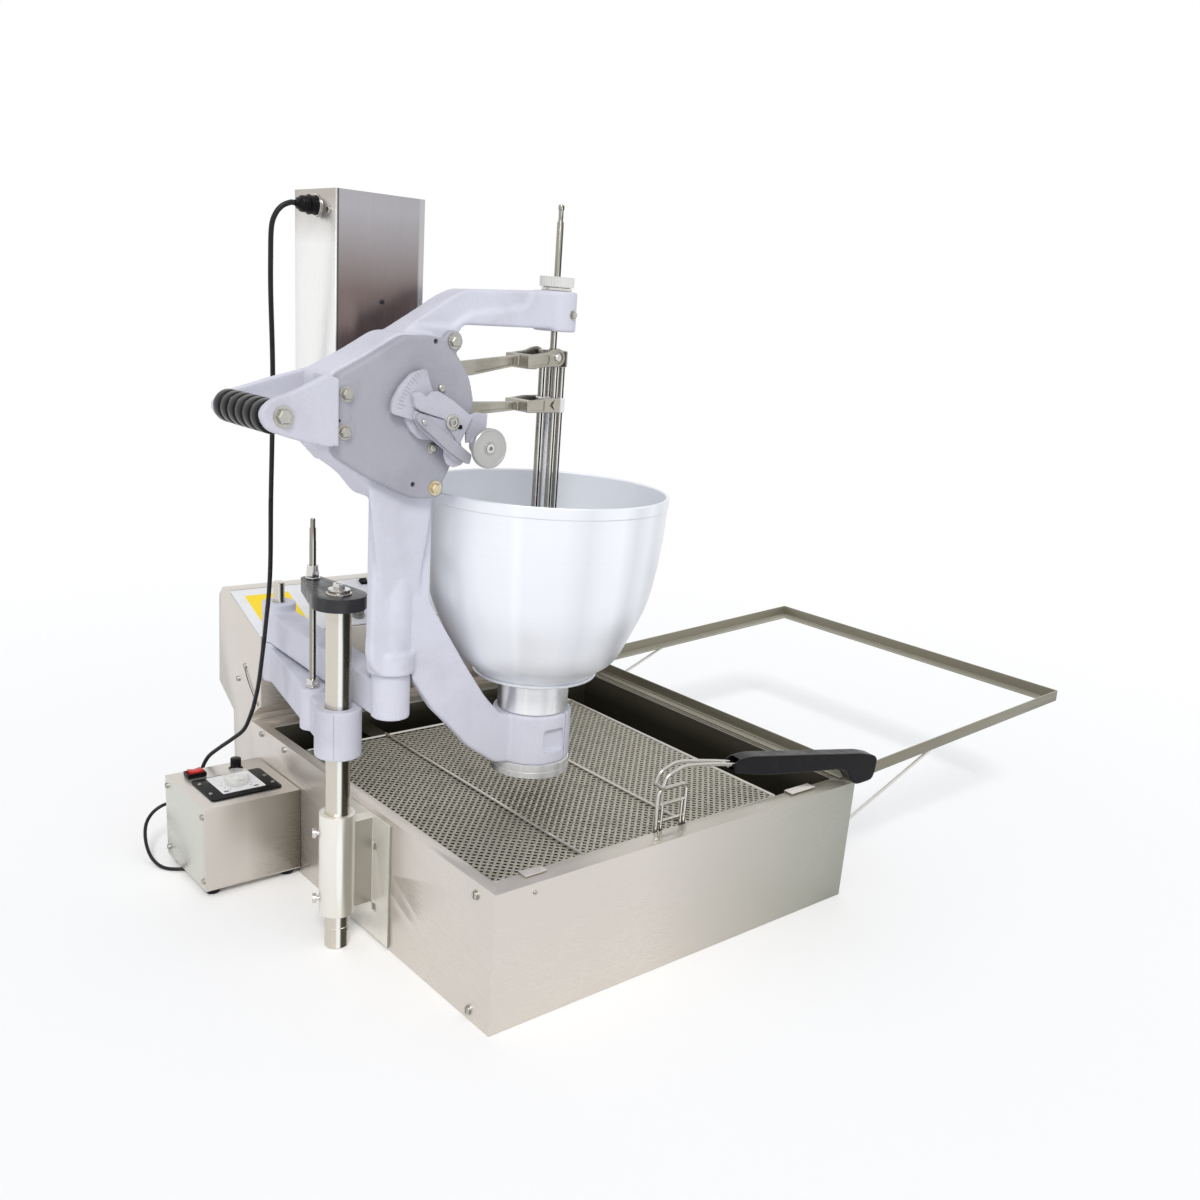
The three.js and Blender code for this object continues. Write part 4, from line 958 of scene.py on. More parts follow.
def black_enamel():
    return surface("black_enamel", "moulded_skin", (0.028, 0.028, 0.031), (0.060, 0.060, 0.063), 0.28,
                   0.03 * MM, coat=0.1, ior=1.3)


def grey_plastic():
    return surface("grey_moulding", "moulded_skin", (0.26, 0.26, 0.25), (0.16, 0.16, 0.155), 0.42, 0.03 * MM)


def red_plastic():
    return surface("red_moulding", "moulded_skin", (0.62, 0.022, 0.015), (0.4, 0.014, 0.01), 0.3, 0.02 * MM)


def clear_plastic():
    made = surface("clear_moulding", "moulded_skin", (0.90, 0.90, 0.87), (0.80, 0.80, 0.77), 0.1, 0.01 * MM)
    made.node_tree.nodes["Principled BSDF"].inputs["Alpha"].default_value = 0.26
    return made


def panel_white():
    return surface("printed_white", "moulded_skin", (0.80, 0.80, 0.80), (0.68, 0.68, 0.68), 0.4, 0.01 * MM)


def printed_black():
    return surface("printed_black", "moulded_skin", (0.015, 0.015, 0.016), (0.03, 0.03, 0.03), 0.4, 0.01 * MM)


def rubber():
    return surface("soft_rubber", "moulded_skin", (0.006, 0.006, 0.007), (0.016, 0.016, 0.017), 0.26,
                   0.03 * MM, ior=1.25)


def cord_jacket():
    return surface("cord_sheath", "moulded_skin", (0.008, 0.008, 0.009), (0.02, 0.02, 0.021), 0.4, 0.02 * MM,
                   ior=1.35)


def brass():
    return surface("brass", "brushed_grain", (0.68, 0.60, 0.42), (0.42, 0.36, 0.22), 0.28, 0.01 * MM,
                   metallic=1.0, Grain=(300, 300, 300))


def screw_steel():
    return surface("screw_steel", "brushed_grain", (0.56, 0.55, 0.51), (0.26, 0.25, 0.22), 0.28, 0.01 * MM,
                   metallic=1.0, Grain=(400, 60, 400))


@made_once
def panel_paint(name):
    """Off-white enamel with one plain yellow field beside the controls."""
    made = surface(name, "moulded_skin", (0.76, 0.77, 0.79), (0.66, 0.67, 0.69), 0.36, 0.02 * MM)
    tree = made.node_tree
    shader = tree.nodes["Principled BSDF"]
    base = shader.inputs["Base Color"].links[0].from_socket
    parts = tree.nodes.new("ShaderNodeSeparateXYZ")
    tree.links.new(object_place(tree), parts.inputs[0])
    low, high = floor_point(17, 660), floor_point(90, 724)
    share = None
    for axis, (edge, sign) in ((0, (low.x, 1)), (0, (high.x, -1)), (1, (low.y, 1)), (1, (high.y, -1))):
        place = calculate(tree, "MULTIPLY", parts.outputs[axis], sign)
        side = calculate(tree, "GREATER_THAN", place, edge * sign)
        share = side if share is None else calculate(tree, "MULTIPLY", share, side)
    tree.links.new(mixed(tree, share, base, (0.90, 0.66, 0.02)), shader.inputs["Base Color"])
    return made


# ---------------------------------------------------------------- repeated parts by rule

class Rule:
    """A geometry tree under construction, with named inputs."""

    def __init__(self, name, inputs):
        self.tree = bpy.data.node_groups.new(name, "GeometryNodeTree")
        self.tree.interface.new_socket("Geometry", in_out="INPUT", socket_type="NodeSocketGeometry")
        for label, kind, default in inputs:
            socket = self.tree.interface.new_socket(label, in_out="INPUT", socket_type=kind)
            if default is not None:
                socket.default_value = default
        self.tree.interface.new_socket("Geometry", in_out="OUTPUT", socket_type="NodeSocketGeometry")
        self.start = self.tree.nodes.new("NodeGroupInput")
        self.given = self.start.outputs

    def step(self, kind, setup=None, **inputs):
        """The first output of a new node, its settings and its inputs set or linked by name or number."""
        node = self.tree.nodes.new(kind)
        for label, value in (setup or {}).items():
            setattr(node, label, value)
        for label, value in inputs.items():
            socket = node.inputs[int(label[1:]) if label[0] == "_" else label.replace("_", " ")]
            for part in value if isinstance(value, list) else [value]:
                if isinstance(part, bpy.types.NodeSocket):
                    self.tree.links.new(part, socket)
                else:
                    socket.default_value = part
        return node.outputs[0]

    def maths(self, operation, first, second=0.0):
        return self.step("ShaderNodeMath", setup={"operation": operation}, _0=first, _1=second)

    def end(self, geometry):
        """Whole faces with the given material."""
        whole = self.step("GeometryNodeRealizeInstances", Geometry=geometry)
        painted = self.step("GeometryNodeSetMaterial", Geometry=whole, Material=self.given["Material"])
        finish = self.tree.nodes.new("NodeGroupOutput")
        self.tree.links.new(painted, finish.inputs[0])
        return self.tree


def built_by(tree, name, mesh, **values):
    """A plain object made by a tree from a mesh, with the tree's inputs set by name."""
    piece = new_object(name, mesh)
    step = piece.modifiers.new("rule", "NODES")
    step.node_group = tree
    names = {item.name: item.identifier for item in tree.interface.items_tree if item.in_out == "INPUT"}
    for label, value in values.items():
        step[names[label]] = value
    return plain(piece)


def points_mesh(name, places):
    """A mesh of loose points, each with the direction that a fastener there faces."""
    mesh = bpy.data.meshes.new(name)
    mesh.from_pydata([place[:] for place, _ in places], [], [])
    facings = mesh.attributes.new("facing", "FLOAT_VECTOR", "POINT")
    facings.data.foreach_set("vector", [part for _, facing_to in places for part in facing_to])
    return mesh


def fastener_rule():
    """A screw or bolt at every point: a washer, a head with a chamfered top and, where chosen, a slot."""
    rule = Rule("fastener_rule", [
        ("Head Radius", NUMBER, 4 * MM), ("Head Height", NUMBER, 3 * MM),
        ("Sides", "NodeSocketInt", 6), ("Washer Radius", NUMBER, 6 * MM),
        ("Washer Height", NUMBER, 1 * MM), ("Slotted", "NodeSocketBool", False),
        ("Material", "NodeSocketMaterial", None),
    ])
    radius, height = rule.given["Head Radius"], rule.given["Head Height"]
    shank = rule.maths("MULTIPLY", height, 0.75)
    cap = rule.maths("SUBTRACT", height, shank)
    body = rule.step("GeometryNodeMeshCylinder", Vertices=rule.given["Sides"], Radius=radius, Depth=shank)
    top = rule.step("GeometryNodeMeshCone", Vertices=rule.given["Sides"], Radius_Bottom=radius,
                    Radius_Top=rule.maths("MULTIPLY", radius, 0.8), Depth=cap)

    def raised(geometry, rise):
        place = rule.step("ShaderNodeCombineXYZ", Z=rise)
        return rule.step("GeometryNodeTransform", Geometry=geometry, Translation=place)

    washer = rule.step("GeometryNodeMeshCylinder", Vertices=28, Radius=rule.given["Washer Radius"],
                       Depth=rule.given["Washer Height"])
    seat = rule.given["Washer Height"]
    head = rule.step("GeometryNodeJoinGeometry", Geometry=[
        raised(body, rule.maths("ADD", seat, rule.maths("MULTIPLY", shank, 0.5))),
        raised(top, rule.maths("ADD", seat, shank)),
    ])
    long_side = rule.maths("MULTIPLY", radius, 2.4)
    cutter_size = rule.step("ShaderNodeCombineXYZ", X=long_side, Y=rule.maths("MULTIPLY", radius, 0.28),
                            Z=rule.maths("MULTIPLY", height, 0.8))
    cutter = raised(rule.step("GeometryNodeMeshCube", Size=cutter_size), rule.maths("ADD", seat, height))
    slotted = rule.step("GeometryNodeMeshBoolean", setup={"operation": "DIFFERENCE"}, _0=head, _1=cutter)
    chosen = rule.step("GeometryNodeSwitch", setup={"input_type": "GEOMETRY"}, _0=rule.given["Slotted"],
                       _1=head, _2=slotted)
    base = raised(washer, rule.maths("MULTIPLY", seat, 0.5))
    whole = rule.step("GeometryNodeJoinGeometry", Geometry=[chosen, base])
    facing_to = rule.step("GeometryNodeInputNamedAttribute", setup={"data_type": "FLOAT_VECTOR"},
                          Name="facing")
    turn = rule.step("FunctionNodeAlignRotationToVector", setup={"axis": "Z"}, Vector=facing_to)
    placed = rule.step("GeometryNodeInstanceOnPoints", Points=rule.given["Geometry"], Instance=whole,
                       Rotation=turn)
    return rule.end(placed)


def woven_rule():
    """Two sets of crimped wires woven at half a right angle to a rectangular frame."""
    rule = Rule("woven_rule", [
        ("Width", NUMBER, 0.5), ("Depth", NUMBER, 0.5), ("Pitch", NUMBER, 8 * MM),
        ("Wire", NUMBER, 1.2 * MM), ("Wires", "NodeSocketInt", 88), ("Centre", DIRECTION, None),
        ("Material", "NodeSocketMaterial", None),
    ])
    count = rule.given["Wires"]
    span = rule.maths("MULTIPLY", rule.given["Pitch"], rule.maths("SUBTRACT", count, 1.0))
    grid = rule.step("GeometryNodeMeshGrid", Size_X=span, Size_Y=span, Vertices_X=count, Vertices_Y=count)
    index = rule.step("GeometryNodeInputIndex")
    across = rule.maths("FLOOR", rule.maths("DIVIDE", rule.maths("ADD", index, 0.5), count))
    along = rule.maths("SUBTRACT", index, rule.maths("MULTIPLY", across, count))
    even = rule.maths("FLOORED_MODULO", rule.maths("ADD", across, along), 2.0)
    lift = rule.maths("MULTIPLY", rule.maths("SUBTRACT", even, 0.5), rule.given["Wire"])
    ends = rule.tree.nodes.new("GeometryNodeInputMeshEdgeVertices")
    run = rule.step("ShaderNodeVectorMath", setup={"operation": "SUBTRACT"}, _0=ends.outputs[2],
                    _1=ends.outputs[3])
    parts = rule.tree.nodes.new("ShaderNodeSeparateXYZ")
    rule.tree.links.new(run, parts.inputs[0])
    profile = rule.step("GeometryNodeCurvePrimitiveCircle", Resolution=6, Radius=rule.given["Wire"])
    sets = []
    for axis, sign in ((0, 1.0), (1, -1.0)):
        crosswise = rule.maths("GREATER_THAN", rule.maths("ABSOLUTE", parts.outputs[axis]), 1e-5)
        kept = rule.step("GeometryNodeDeleteGeometry", setup={"domain": "EDGE", "mode": "EDGE_FACE"},
                         Geometry=grid, Selection=crosswise)
        offset = rule.step("ShaderNodeCombineXYZ", Z=rule.maths("MULTIPLY", lift, sign))
        crimped = rule.step("GeometryNodeSetPosition", Geometry=kept, Offset=offset)
        turned = rule.step("GeometryNodeTransform", Geometry=crimped, Rotation=(0, 0, math.pi / 4))
        place = rule.tree.nodes.new("ShaderNodeSeparateXYZ")
        rule.tree.links.new(rule.step("GeometryNodeInputPosition"), place.inputs[0])
        outside = [
            rule.maths("GREATER_THAN", rule.maths("ABSOLUTE", place.outputs[side]),
                       rule.maths("MULTIPLY", rule.given[label], 0.5))
            for side, label in ((0, "Width"), (1, "Depth"))
        ]
        trimmed = rule.step("GeometryNodeDeleteGeometry", setup={"domain": "POINT"}, Geometry=turned,
                            Selection=rule.maths("MAXIMUM", *outside))
        line = rule.step("GeometryNodeMeshToCurve", Mesh=trimmed)
        sets.append(rule.step("GeometryNodeCurveToMesh", Curve=line, Profile_Curve=profile, Fill_Caps=True))
    woven = rule.step("GeometryNodeJoinGeometry", Geometry=sets)
    return rule.end(rule.step("GeometryNodeTransform", Geometry=woven, Translation=rule.given["Centre"],
                              Scale=(1, 1, 0.45)))


FASTENER_SIZES = {
    "hex": dict(head=6.4, height=5.0, sides=6, washer=8.6, thick=1.2, slotted=False),
    "small_hex": dict(head=4.6, height=3.6, sides=6, washer=6.4, thick=1.0, slotted=False),
    "pan": dict(head=4.2, height=2.6, sides=24, washer=4.4, thick=0.3, slotted=True),
    "small_pan": dict(head=2.8, height=1.7, sides=20, washer=2.9, thick=0.2, slotted=True),
    "bolt": dict(head=8.2, height=6.0, sides=6, washer=11.5, thick=1.6, slotted=False),
    "dome": dict(head=5.4, height=3.0, sides=24, washer=6.6, thick=0.8, slotted=True),
}


def fasteners(name, kind, places, body, material=None):
    """Screws or bolts of one kind on one body: each place is a point and the direction that it faces."""
    made_of = FASTENER_SIZES[kind]
    tree = bpy.data.node_groups.get("fastener_rule") or fastener_rule()
    paint = material or screw_steel()
    piece = built_by(tree, name, points_mesh(name, places), **{
        "Head Radius": made_of["head"] * MM, "Head Height": made_of["height"] * MM, "Sides": made_of["sides"],
        "Washer Radius": made_of["washer"] * MM, "Washer Height": made_of["thick"] * MM,
        "Slotted": made_of["slotted"], "Material": paint,
    })
    return finished(piece, paint, body, "bright_steel")


# ---------------------------------------------------------------- camera, light and floor

def make_stage():
    place_camera()
    light_from_one_side()
    light_from_all_round()
    floor = from_shape("floor", block((-9000, -9000, -2), (9000, 9000, -0.4)))
    floor.data.materials.append(floor_paint())
    bpy.context.scene.view_settings.view_transform = "Standard"


def place_camera():
    stage = settings().stage
    ahead = Vector((math.sin(stage.heading) * math.cos(stage.pitch),
                    math.cos(stage.heading) * math.cos(stage.pitch), -math.sin(stage.pitch)))
    level = Vector((math.cos(stage.heading), -math.sin(stage.heading), 0))
    up = level.cross(ahead)
    right = level * math.cos(stage.roll) + up * math.sin(stage.roll)
    top = up * math.cos(stage.roll) - level * math.sin(stage.roll)
    lens = bpy.data.cameras.new("camera")
    lens.sensor_width = 36
    lens.lens = stage.lens
    lens.shift_x = -0.0068
    lens.shift_y = 0.0533
    lens.clip_start = 0.05
    lens.clip_end = 60
    camera = new_object("camera", lens)
    axes = Matrix((right, top, -ahead)).transposed().to_4x4()
    camera.matrix_world = Matrix.Translation(stage.place) @ axes
    bpy.context.scene.camera = camera


def light_from_one_side():
    """A broad sun from the front left."""
    sun = bpy.data.lights.new("key_light", "SUN")
    sun.energy = settings().stage.key
    sun.angle = math.radians(18)
    sun.color = (1.0, 0.985, 0.96)
    lamp = new_object("key_light", sun)
    lamp.matrix_world = facing((-0.43, -0.57, 0.70), (0, 0, 3))


def blended(tree, share, first, second, target):
    """One shader turning into another by a share, led to a target."""
    blend = tree.nodes.new("ShaderNodeMixShader")
    for socket, value in zip(blend.inputs, (share, first, second)):
        tree.links.new(value, socket)
    tree.links.new(blend.outputs[0], target)


def light_from_all_round():
    """A soft pale sky that the camera, gloss and clear parts see as plain white."""
    world = bpy.data.worlds.new("studio")
    bpy.context.scene.world = world
    world.use_nodes = True
    tree = world.node_tree
    seen = tree.nodes["Background"]
    seen.inputs["Color"].default_value = (1, 1, 1, 1)
    soft = tree.nodes.new("ShaderNodeBackground")
    soft.inputs["Color"].default_value = (0.94, 0.96, 1.0, 1)
    soft.inputs["Strength"].default_value = settings().stage.fill
    rays = tree.nodes.new("ShaderNodeLightPath").outputs
    direct = calculate(tree, "MAXIMUM", rays["Is Camera Ray"],
                       calculate(tree, "MAXIMUM", rays["Is Glossy Ray"], rays["Is Transmission Ray"]))
    blended(tree, direct, soft.outputs[0], seen.outputs[0], tree.nodes["World Output"].inputs["Surface"])


def floor_paint():
    """White paint that keeps shadows near the object and runs into the white background further out."""
    made = bpy.data.materials.new("floor_paint")
    made.use_nodes = True
    tree = made.node_tree
    paint = tree.nodes["Principled BSDF"]
    paint.inputs["Base Color"].default_value = (0.97, 0.97, 0.97, 1)
    paint.inputs["Roughness"].default_value = 0.9
    paint.inputs["Specular IOR Level"].default_value = 0.1
    glow = tree.nodes.new("ShaderNodeEmission")
    far = spread(tree, vector_step(tree, "LENGTH", object_place(tree), output="Value"), 1.1, 2.2)
    rays = tree.nodes.new("ShaderNodeLightPath").outputs
    direct = calculate(tree, "MAXIMUM", rays["Is Camera Ray"], rays["Is Glossy Ray"])
    share = calculate(tree, "MULTIPLY", direct, far)
    blended(tree, share, paint.outputs[0], glow.outputs[0], tree.nodes["Material Output"].inputs["Surface"])
    return made


# ---------------------------------------------------------------- cords

CORD_STEPS = 6
MAINS_FLOOR = 2.7
MOTOR_CORD = {
    "upper": [(-84.6, 335.5, 936), (-89.5, 335.6, 935.8), (-99, 337, 931), (-106, 339.5, 921.5),
              (-108.8, 343.5, 907), (-107.5, 349, 875), (-104.5, 356, 835), (-96, 371, 750), (-91, 385, 671),
              (-82, 410, 585)],
    "arm": [(-82, 410, 585), (-66, 450, 475), (-54.5, 494, 380)],
    "link": [(-54.5, 494, 380), (-46.5, 533, 300), (-43, 562, 250)],
    "lower": [(-43, 562, 250), (-45, 588, 211), (-52, 617, 186), (-61, 646, 163), (-70, 668, 142),
              (-76.5, 677, 119), (-79.5, 669, 102), (-80, 655.5, 95.6), (-80, 642.5, 95)],
}
MAINS_ROUTE = [
    (-116, 668.4, 70), (-116, 676.4, 69.8), (-120, 690, 68), (-131, 700, 62.5), (-146, 701, 53.5),
    (-159, 692.5, 42.5), (-167, 677, 30), (-171, 657, 17), (-170.5, 636, 7.5), (-164, 615, MAINS_FLOOR),
    (-149, 598.5, MAINS_FLOOR), (-120, 590, MAINS_FLOOR), (-66, 615, MAINS_FLOOR), (-40, 650, MAINS_FLOOR),
    (-28, 700, MAINS_FLOOR), (-20, 760, MAINS_FLOOR), (20, 808, MAINS_FLOOR), (80, 818.4, MAINS_FLOOR),
    (135, 818.4, MAINS_FLOOR),
]


def eased(angle, start, end):
    """0 before the start angle, 1 after the end angle and a smooth step between them."""
    share = min(max((angle - start) / (end - start), 0), 1)
    return share * share * (3 - 2 * share)


def coil_path(centre, radius, diameter):
    """Turns beside and on each other: out, in and up, and off to the plug after five and a quarter."""
    path = []
    inner = radius - diameter
    for angle in range(0, 1891, 15):
        layer = eased(angle, 600, 660) + eased(angle, 1200, 1260)
        inwards = eased(angle, 300, 360) - eased(angle, 900, 960) + eased(angle, 1500, 1560)
        reach = radius + (inner - radius) * inwards
        turn = math.radians(angle - 90)
        path.append(centre + Vector((reach * math.cos(turn), reach * math.sin(turn), layer * diameter)))
    return path


def make_cords():
    for part in MOTOR_CORD:
        lay_motor_cord(part)
    lay_mains_lead()


def lay_motor_cord(part):
    """One length of the motor's cord, along its route between two bodies."""
    width = settings().cord.motor
    path = smooth_path([floor_point(*point) for point in MOTOR_CORD[part]], CORD_STEPS)
    piece = from_shape(f"motor_cord_{part}_jacket", tube(path, width / 2, 14))
    piece.data.materials.append(cord_jacket())
    piece.data.shade_smooth()
    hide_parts(f"motor_cord_{part}")
    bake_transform(piece)


def lay_mains_lead():
    """The mains lead from the control box's gland over the floor, through its coil and into the plug."""
    sizes = settings().cord
    lead = smooth_path([floor_point(*point) for point in MAINS_ROUTE], CORD_STEPS)
    winding = middle("mains_cord_coil")
    turns = coil_path(Vector((winding.x, winding.y, MAINS_FLOOR * MM)), sizes.turn, sizes.mains)
    plug_low, plug_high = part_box("mains_plug")
    entry = Vector((turns[-1].x, plug_low.y, turns[-1].z))
    path = lead + turns + [turns[-1].lerp(entry, 0.5), entry]
    piece = from_shape("mains_lead", tube(path, sizes.mains / 2, 12))
    finished(piece, cord_jacket(), "root", "cord_jacket", "mains_cord", "mains_cord_coil")
    plug = make_plug(plug_low, plug_high)
    relief = make_gland()


def make_plug(low, high):
    """A moulded two-pin plug whose front narrows towards the lead."""
    centre = (low.x + high.x) / 2 / MM
    front, back = low.y / MM, high.y / MM
    body_back = front + 44
    half = 19
    outline = rounded([(centre - 7, front + 0.5), (centre + 7, front + 0.5), (centre + 12, front + 12),
                       (centre + half, front + 18), (centre + half, body_back), (centre - half, body_back),
                       (centre - half, front + 18), (centre - 12, front + 12)], 5)
    plug = from_shape("mains_plug_body", prism(outline, 0.4, 25.6))
    soften(plug, 3 * MM, 3)
    pins = Shape()
    for side in (-6, 6):
        pins.join(block((centre + side - 0.8, body_back - 1, 9), (centre + side + 0.8, back, 16)))
    blades = from_shape("mains_plug_pins", pins)
    finished(soften(blades, 0.5 * MM), brass(), "root", "bright_steel")
    return finished(plug, black_plastic(), "root", "black_plastic", "mains_plug")


def make_gland():
    """The tapered, ribbed sleeve where the lead leaves the control box."""
    low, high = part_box("mains_gland")
    long = (high.y - low.y) / MM
    profile = [(0, 0), (8.8, 0), (8.8, 4), (8, 5), (6.2, 6)]
    ribs = 5
    for rib in range(ribs):
        at = 7 + (long - 9) * rib / ribs
        thick = 6.0 - 2.2 * rib / ribs
        profile += [(thick, at), (thick, at + 2.0), (thick - 0.8, at + 2.6), (thick - 0.8, at + 3.2)]
    profile += [(3.6, long), (0, long)]
    centre = middle("mains_gland")
    piece = from_shape("mains_gland_sleeve", lathe(profile, 32).moved(
        facing((0, 1, 0), (centre.x, low.y, centre.z))))
    return finished(piece, black_plastic(), "root", "black_plastic", "mains_gland")


# ---------------------------------------------------------------- fryer

def make_fryer():
    fold_casing()
    tank = soften(from_node("oil_tank_shell", "oil_tank"), 2.5 * MM, 3)
    finished(tank, oiled_steel(), "root", "tank_steel", "oil_tank")
    bend_heating_tube()
    screws = [(floor_point(0, 39, 173), LEFTWARD), (floor_point(0, 44, 13), LEFTWARD)]
    fasteners("casing_screws", "dome", screws, "root")
    rear_bolts = [(floor_point(0, 630, 180), LEFTWARD), (floor_point(0, 551, 181), LEFTWARD)]
    fasteners("casing_rear_bolts", "pan", rear_bolts, "root")
    fasteners("casing_front_stud", "small_pan", [(floor_point(57.6, 0, 177.7), FORWARD)], "root")


def fold_casing():
    """The fryer's casing, with its two vent slits and the mitred seams at the rim's corners."""
    steel = fryer_steel()
    casing = from_node("fryer_shell", "fryer_casing")
    corner = Matrix.Translation(floor_point(0, 0))
    grooves = [block((-1, 228, z), (0.6, 233, z + 1.6)).moved(corner) for z in (112, 84)]
    wide, deep = (FRYER_HIGH.x - FRYER_LOW.x) / MM, (FRYER_HIGH.y - FRYER_LOW.y) / MM
    for x, y, turn in ((0, 0, 45), (wide, 0, 135), (wide, deep, 225), (0, deep, 315)):
        seam = block((-1, -0.25, 189.4), (52, 0.25, 191))
        grooves.append(seam.moved(Matrix.Translation(floor_point(x, y)) @ z_turn(turn)))
    cut_away(casing, *grooves)
    soften(casing, settings().sheet.fold)
    finished(casing, steel, "root", "casing_steel", "fryer_casing")


def bend_heating_tube():
    """A tube that runs forward and back along the tank, with its ends through the rear wall."""
    low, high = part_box("heating_element")
    level = low.z + 14 * MM
    left, right = low.x + 23 * MM, high.x - 23 * MM
    near, rear = low.y + 42 * MM, high.y - 68 * MM
    loops = 6
    pitch = (right - left) / (loops - 1)
    bend = pitch / 2
    path = [Vector((left, high.y - 5 * MM, level))]
    for loop in range(loops):
        x = left + loop * pitch
        forward = loop % 2 == 0
        first, last = (rear, near) if forward else (near, rear)
        path += [Vector((x, first, level)), Vector((x, last, level))]
        if loop < loops - 1:
            rise = (-0.9 if forward else 0.9) * bend
            for step in range(1, 8):
                turn = math.pi * step / 8
                path.append(Vector((x + bend - bend * math.cos(turn), last + rise * math.sin(turn), level)))
    path.append(Vector((right, high.y - 5 * MM, level)))
    element = tube(path, 4.4 * MM, 14)
    for x in (left, right):
        element.join(block((-23, -5.6, -14), (23, -0.4, 14)).moved(Matrix.Translation((x, high.y, level))))
    finished(from_shape("heating_tube", element), oiled_steel(), "root", "tank_steel", "heating_element")


# ---------------------------------------------------------------- screen and its handle

SCREEN_LEVEL = 172
SCREEN_WIRE = 3
RIM_WIDTH = 28
ARCH_X, ARCH_Y = 283, 35
ARCH_HEIGHT = 78


def make_screen():
    weave_wires()
    rods = screen_rods()
    fold_straps()
    bend_arch()
    finished(rods, wire_rod_steel(), "screen", "bright_steel", "fry_screen", angle=50)


def screen_corners():
    """The screen's near left and far right corners, at the height of its wires."""
    return floor_point(34, 52, SCREEN_LEVEL), floor_point(545, 550, SCREEN_LEVEL)


def weave_wires():
    look = settings().screen
    near, far = screen_corners()
    size = far - near
    diagonal = (size.x + size.y) / math.sqrt(2)
    weave = wire_steel()
    seed = bpy.data.meshes.new("weave_seed")
    wires = built_by(woven_rule(), "woven_wires", seed, **{
        "Width": size.x, "Depth": size.y, "Pitch": look.pitch, "Wire": look.wire,
        "Wires": 2 * round(diagonal / look.pitch / 2), "Centre": (near + far) / 2, "Material": weave,
    })
    finished(wires, weave, "screen", "bright_steel", angle=80)


def screen_rods():
    """The bent frame around the weave and the two rods across it."""
    near, far = screen_corners()
    wire = SCREEN_WIRE * MM
    corner = 6 * MM
    ring = []
    for x, y, across, back, start in ((far.x, far.y, -1, -1, 0), (near.x, far.y, 1, -1, 90),
                                      (near.x, near.y, 1, 1, 180), (far.x, near.y, -1, 1, 270)):
        inner = Vector((x + across * corner, y + back * corner, near.z))
        for step in range(7):
            turn = math.radians(start + 15 * step)
            ring.append(inner + Vector((math.cos(turn), math.sin(turn), 0)) * corner)
    shape = tube(ring, wire, 12, closed=True)
    for at in (174, 359):
        x = floor_point(at, 0).x
        height = near.z + 2.2 * MM
        shape.join(rod((x, near.y - wire, height), (x, far.y + wire, height), 2.6 * MM, 12))
    return from_shape("screen_frame_rods", shape)


def fold_straps():
    """The two straps that lie on the fryer's rim and carry the screen."""
    straps = Shape()
    thick = 1.8
    low = FRYER_HIGH.z / MM + FIT + 0.2
    inner = RIM_WIDTH + FIT + 2.2
    reach = 54
    lay = Matrix(((0, 0, 1, 0), (1, 0, 0, 0), (0, 1, 0, 0), (0, 0, 0, 1)))
    for at, width in ((55, 33), (538, 52)):
        outline = [(inner - 14.2, low), (inner - 14.2, low + thick), (inner + thick, low + thick),
                   (inner + thick, SCREEN_LEVEL), (reach, SCREEN_LEVEL), (reach, SCREEN_LEVEL - thick),
                   (inner, SCREEN_LEVEL - thick), (inner, low)]
        straps.join(prism(outline, at, at + width).moved(Matrix.Translation(floor_point(0, 0)) @ lay))
    piece = from_shape("screen_straps", straps)
    finished(soften(piece, 0.7 * MM), brushed_steel(), "screen", "bright_steel")


def bend_arch():
    """The upright arch that carries the handle, with its two inner rods and two cross rods."""
    near = screen_corners()[0]
    foot = floor_point(ARCH_X, ARCH_Y, SCREEN_LEVEL)
    level = foot.z
    wire = SCREEN_WIRE * MM
    span = 51 * MM
    top = (SCREEN_LEVEL + ARCH_HEIGHT) * MM
    bend = 9 * MM
    arch = Shape()
    for x, inner in ((foot.x, 1), (foot.x + span, -1)):
        arch.join(rod((x, near.y + wire, level), (x, foot.y, level), wire, 12))
        path = [Vector((x, foot.y, level - wire)), Vector((x, foot.y, top - bend))]
        for step in range(1, 7):
            turn = math.radians(15 * step)
            path.append(Vector((x + inner * bend * (1 - math.cos(turn)), foot.y,
                                top - wire - bend + bend * math.sin(turn))))
        path.append(Vector((foot.x + span / 2, foot.y, top - wire)))
        arch.join(tube(path, wire, 12))
        beside, behind = x + 7.5 * MM * inner, foot.y - 1.5 * MM
        arch.join(rod((beside, behind, level + 2 * MM), (beside, behind, top - 25 * MM), 2.2 * MM, 10))
    for drop_down in (26, 50):
        height = top - drop_down * MM
        arch.join(rod((foot.x, foot.y, height), (foot.x + span, foot.y, height), 2.4 * MM, 10))
    finished(from_shape("screen_arch", arch), wire_rod_steel(), "screen", "bright_steel", angle=50)


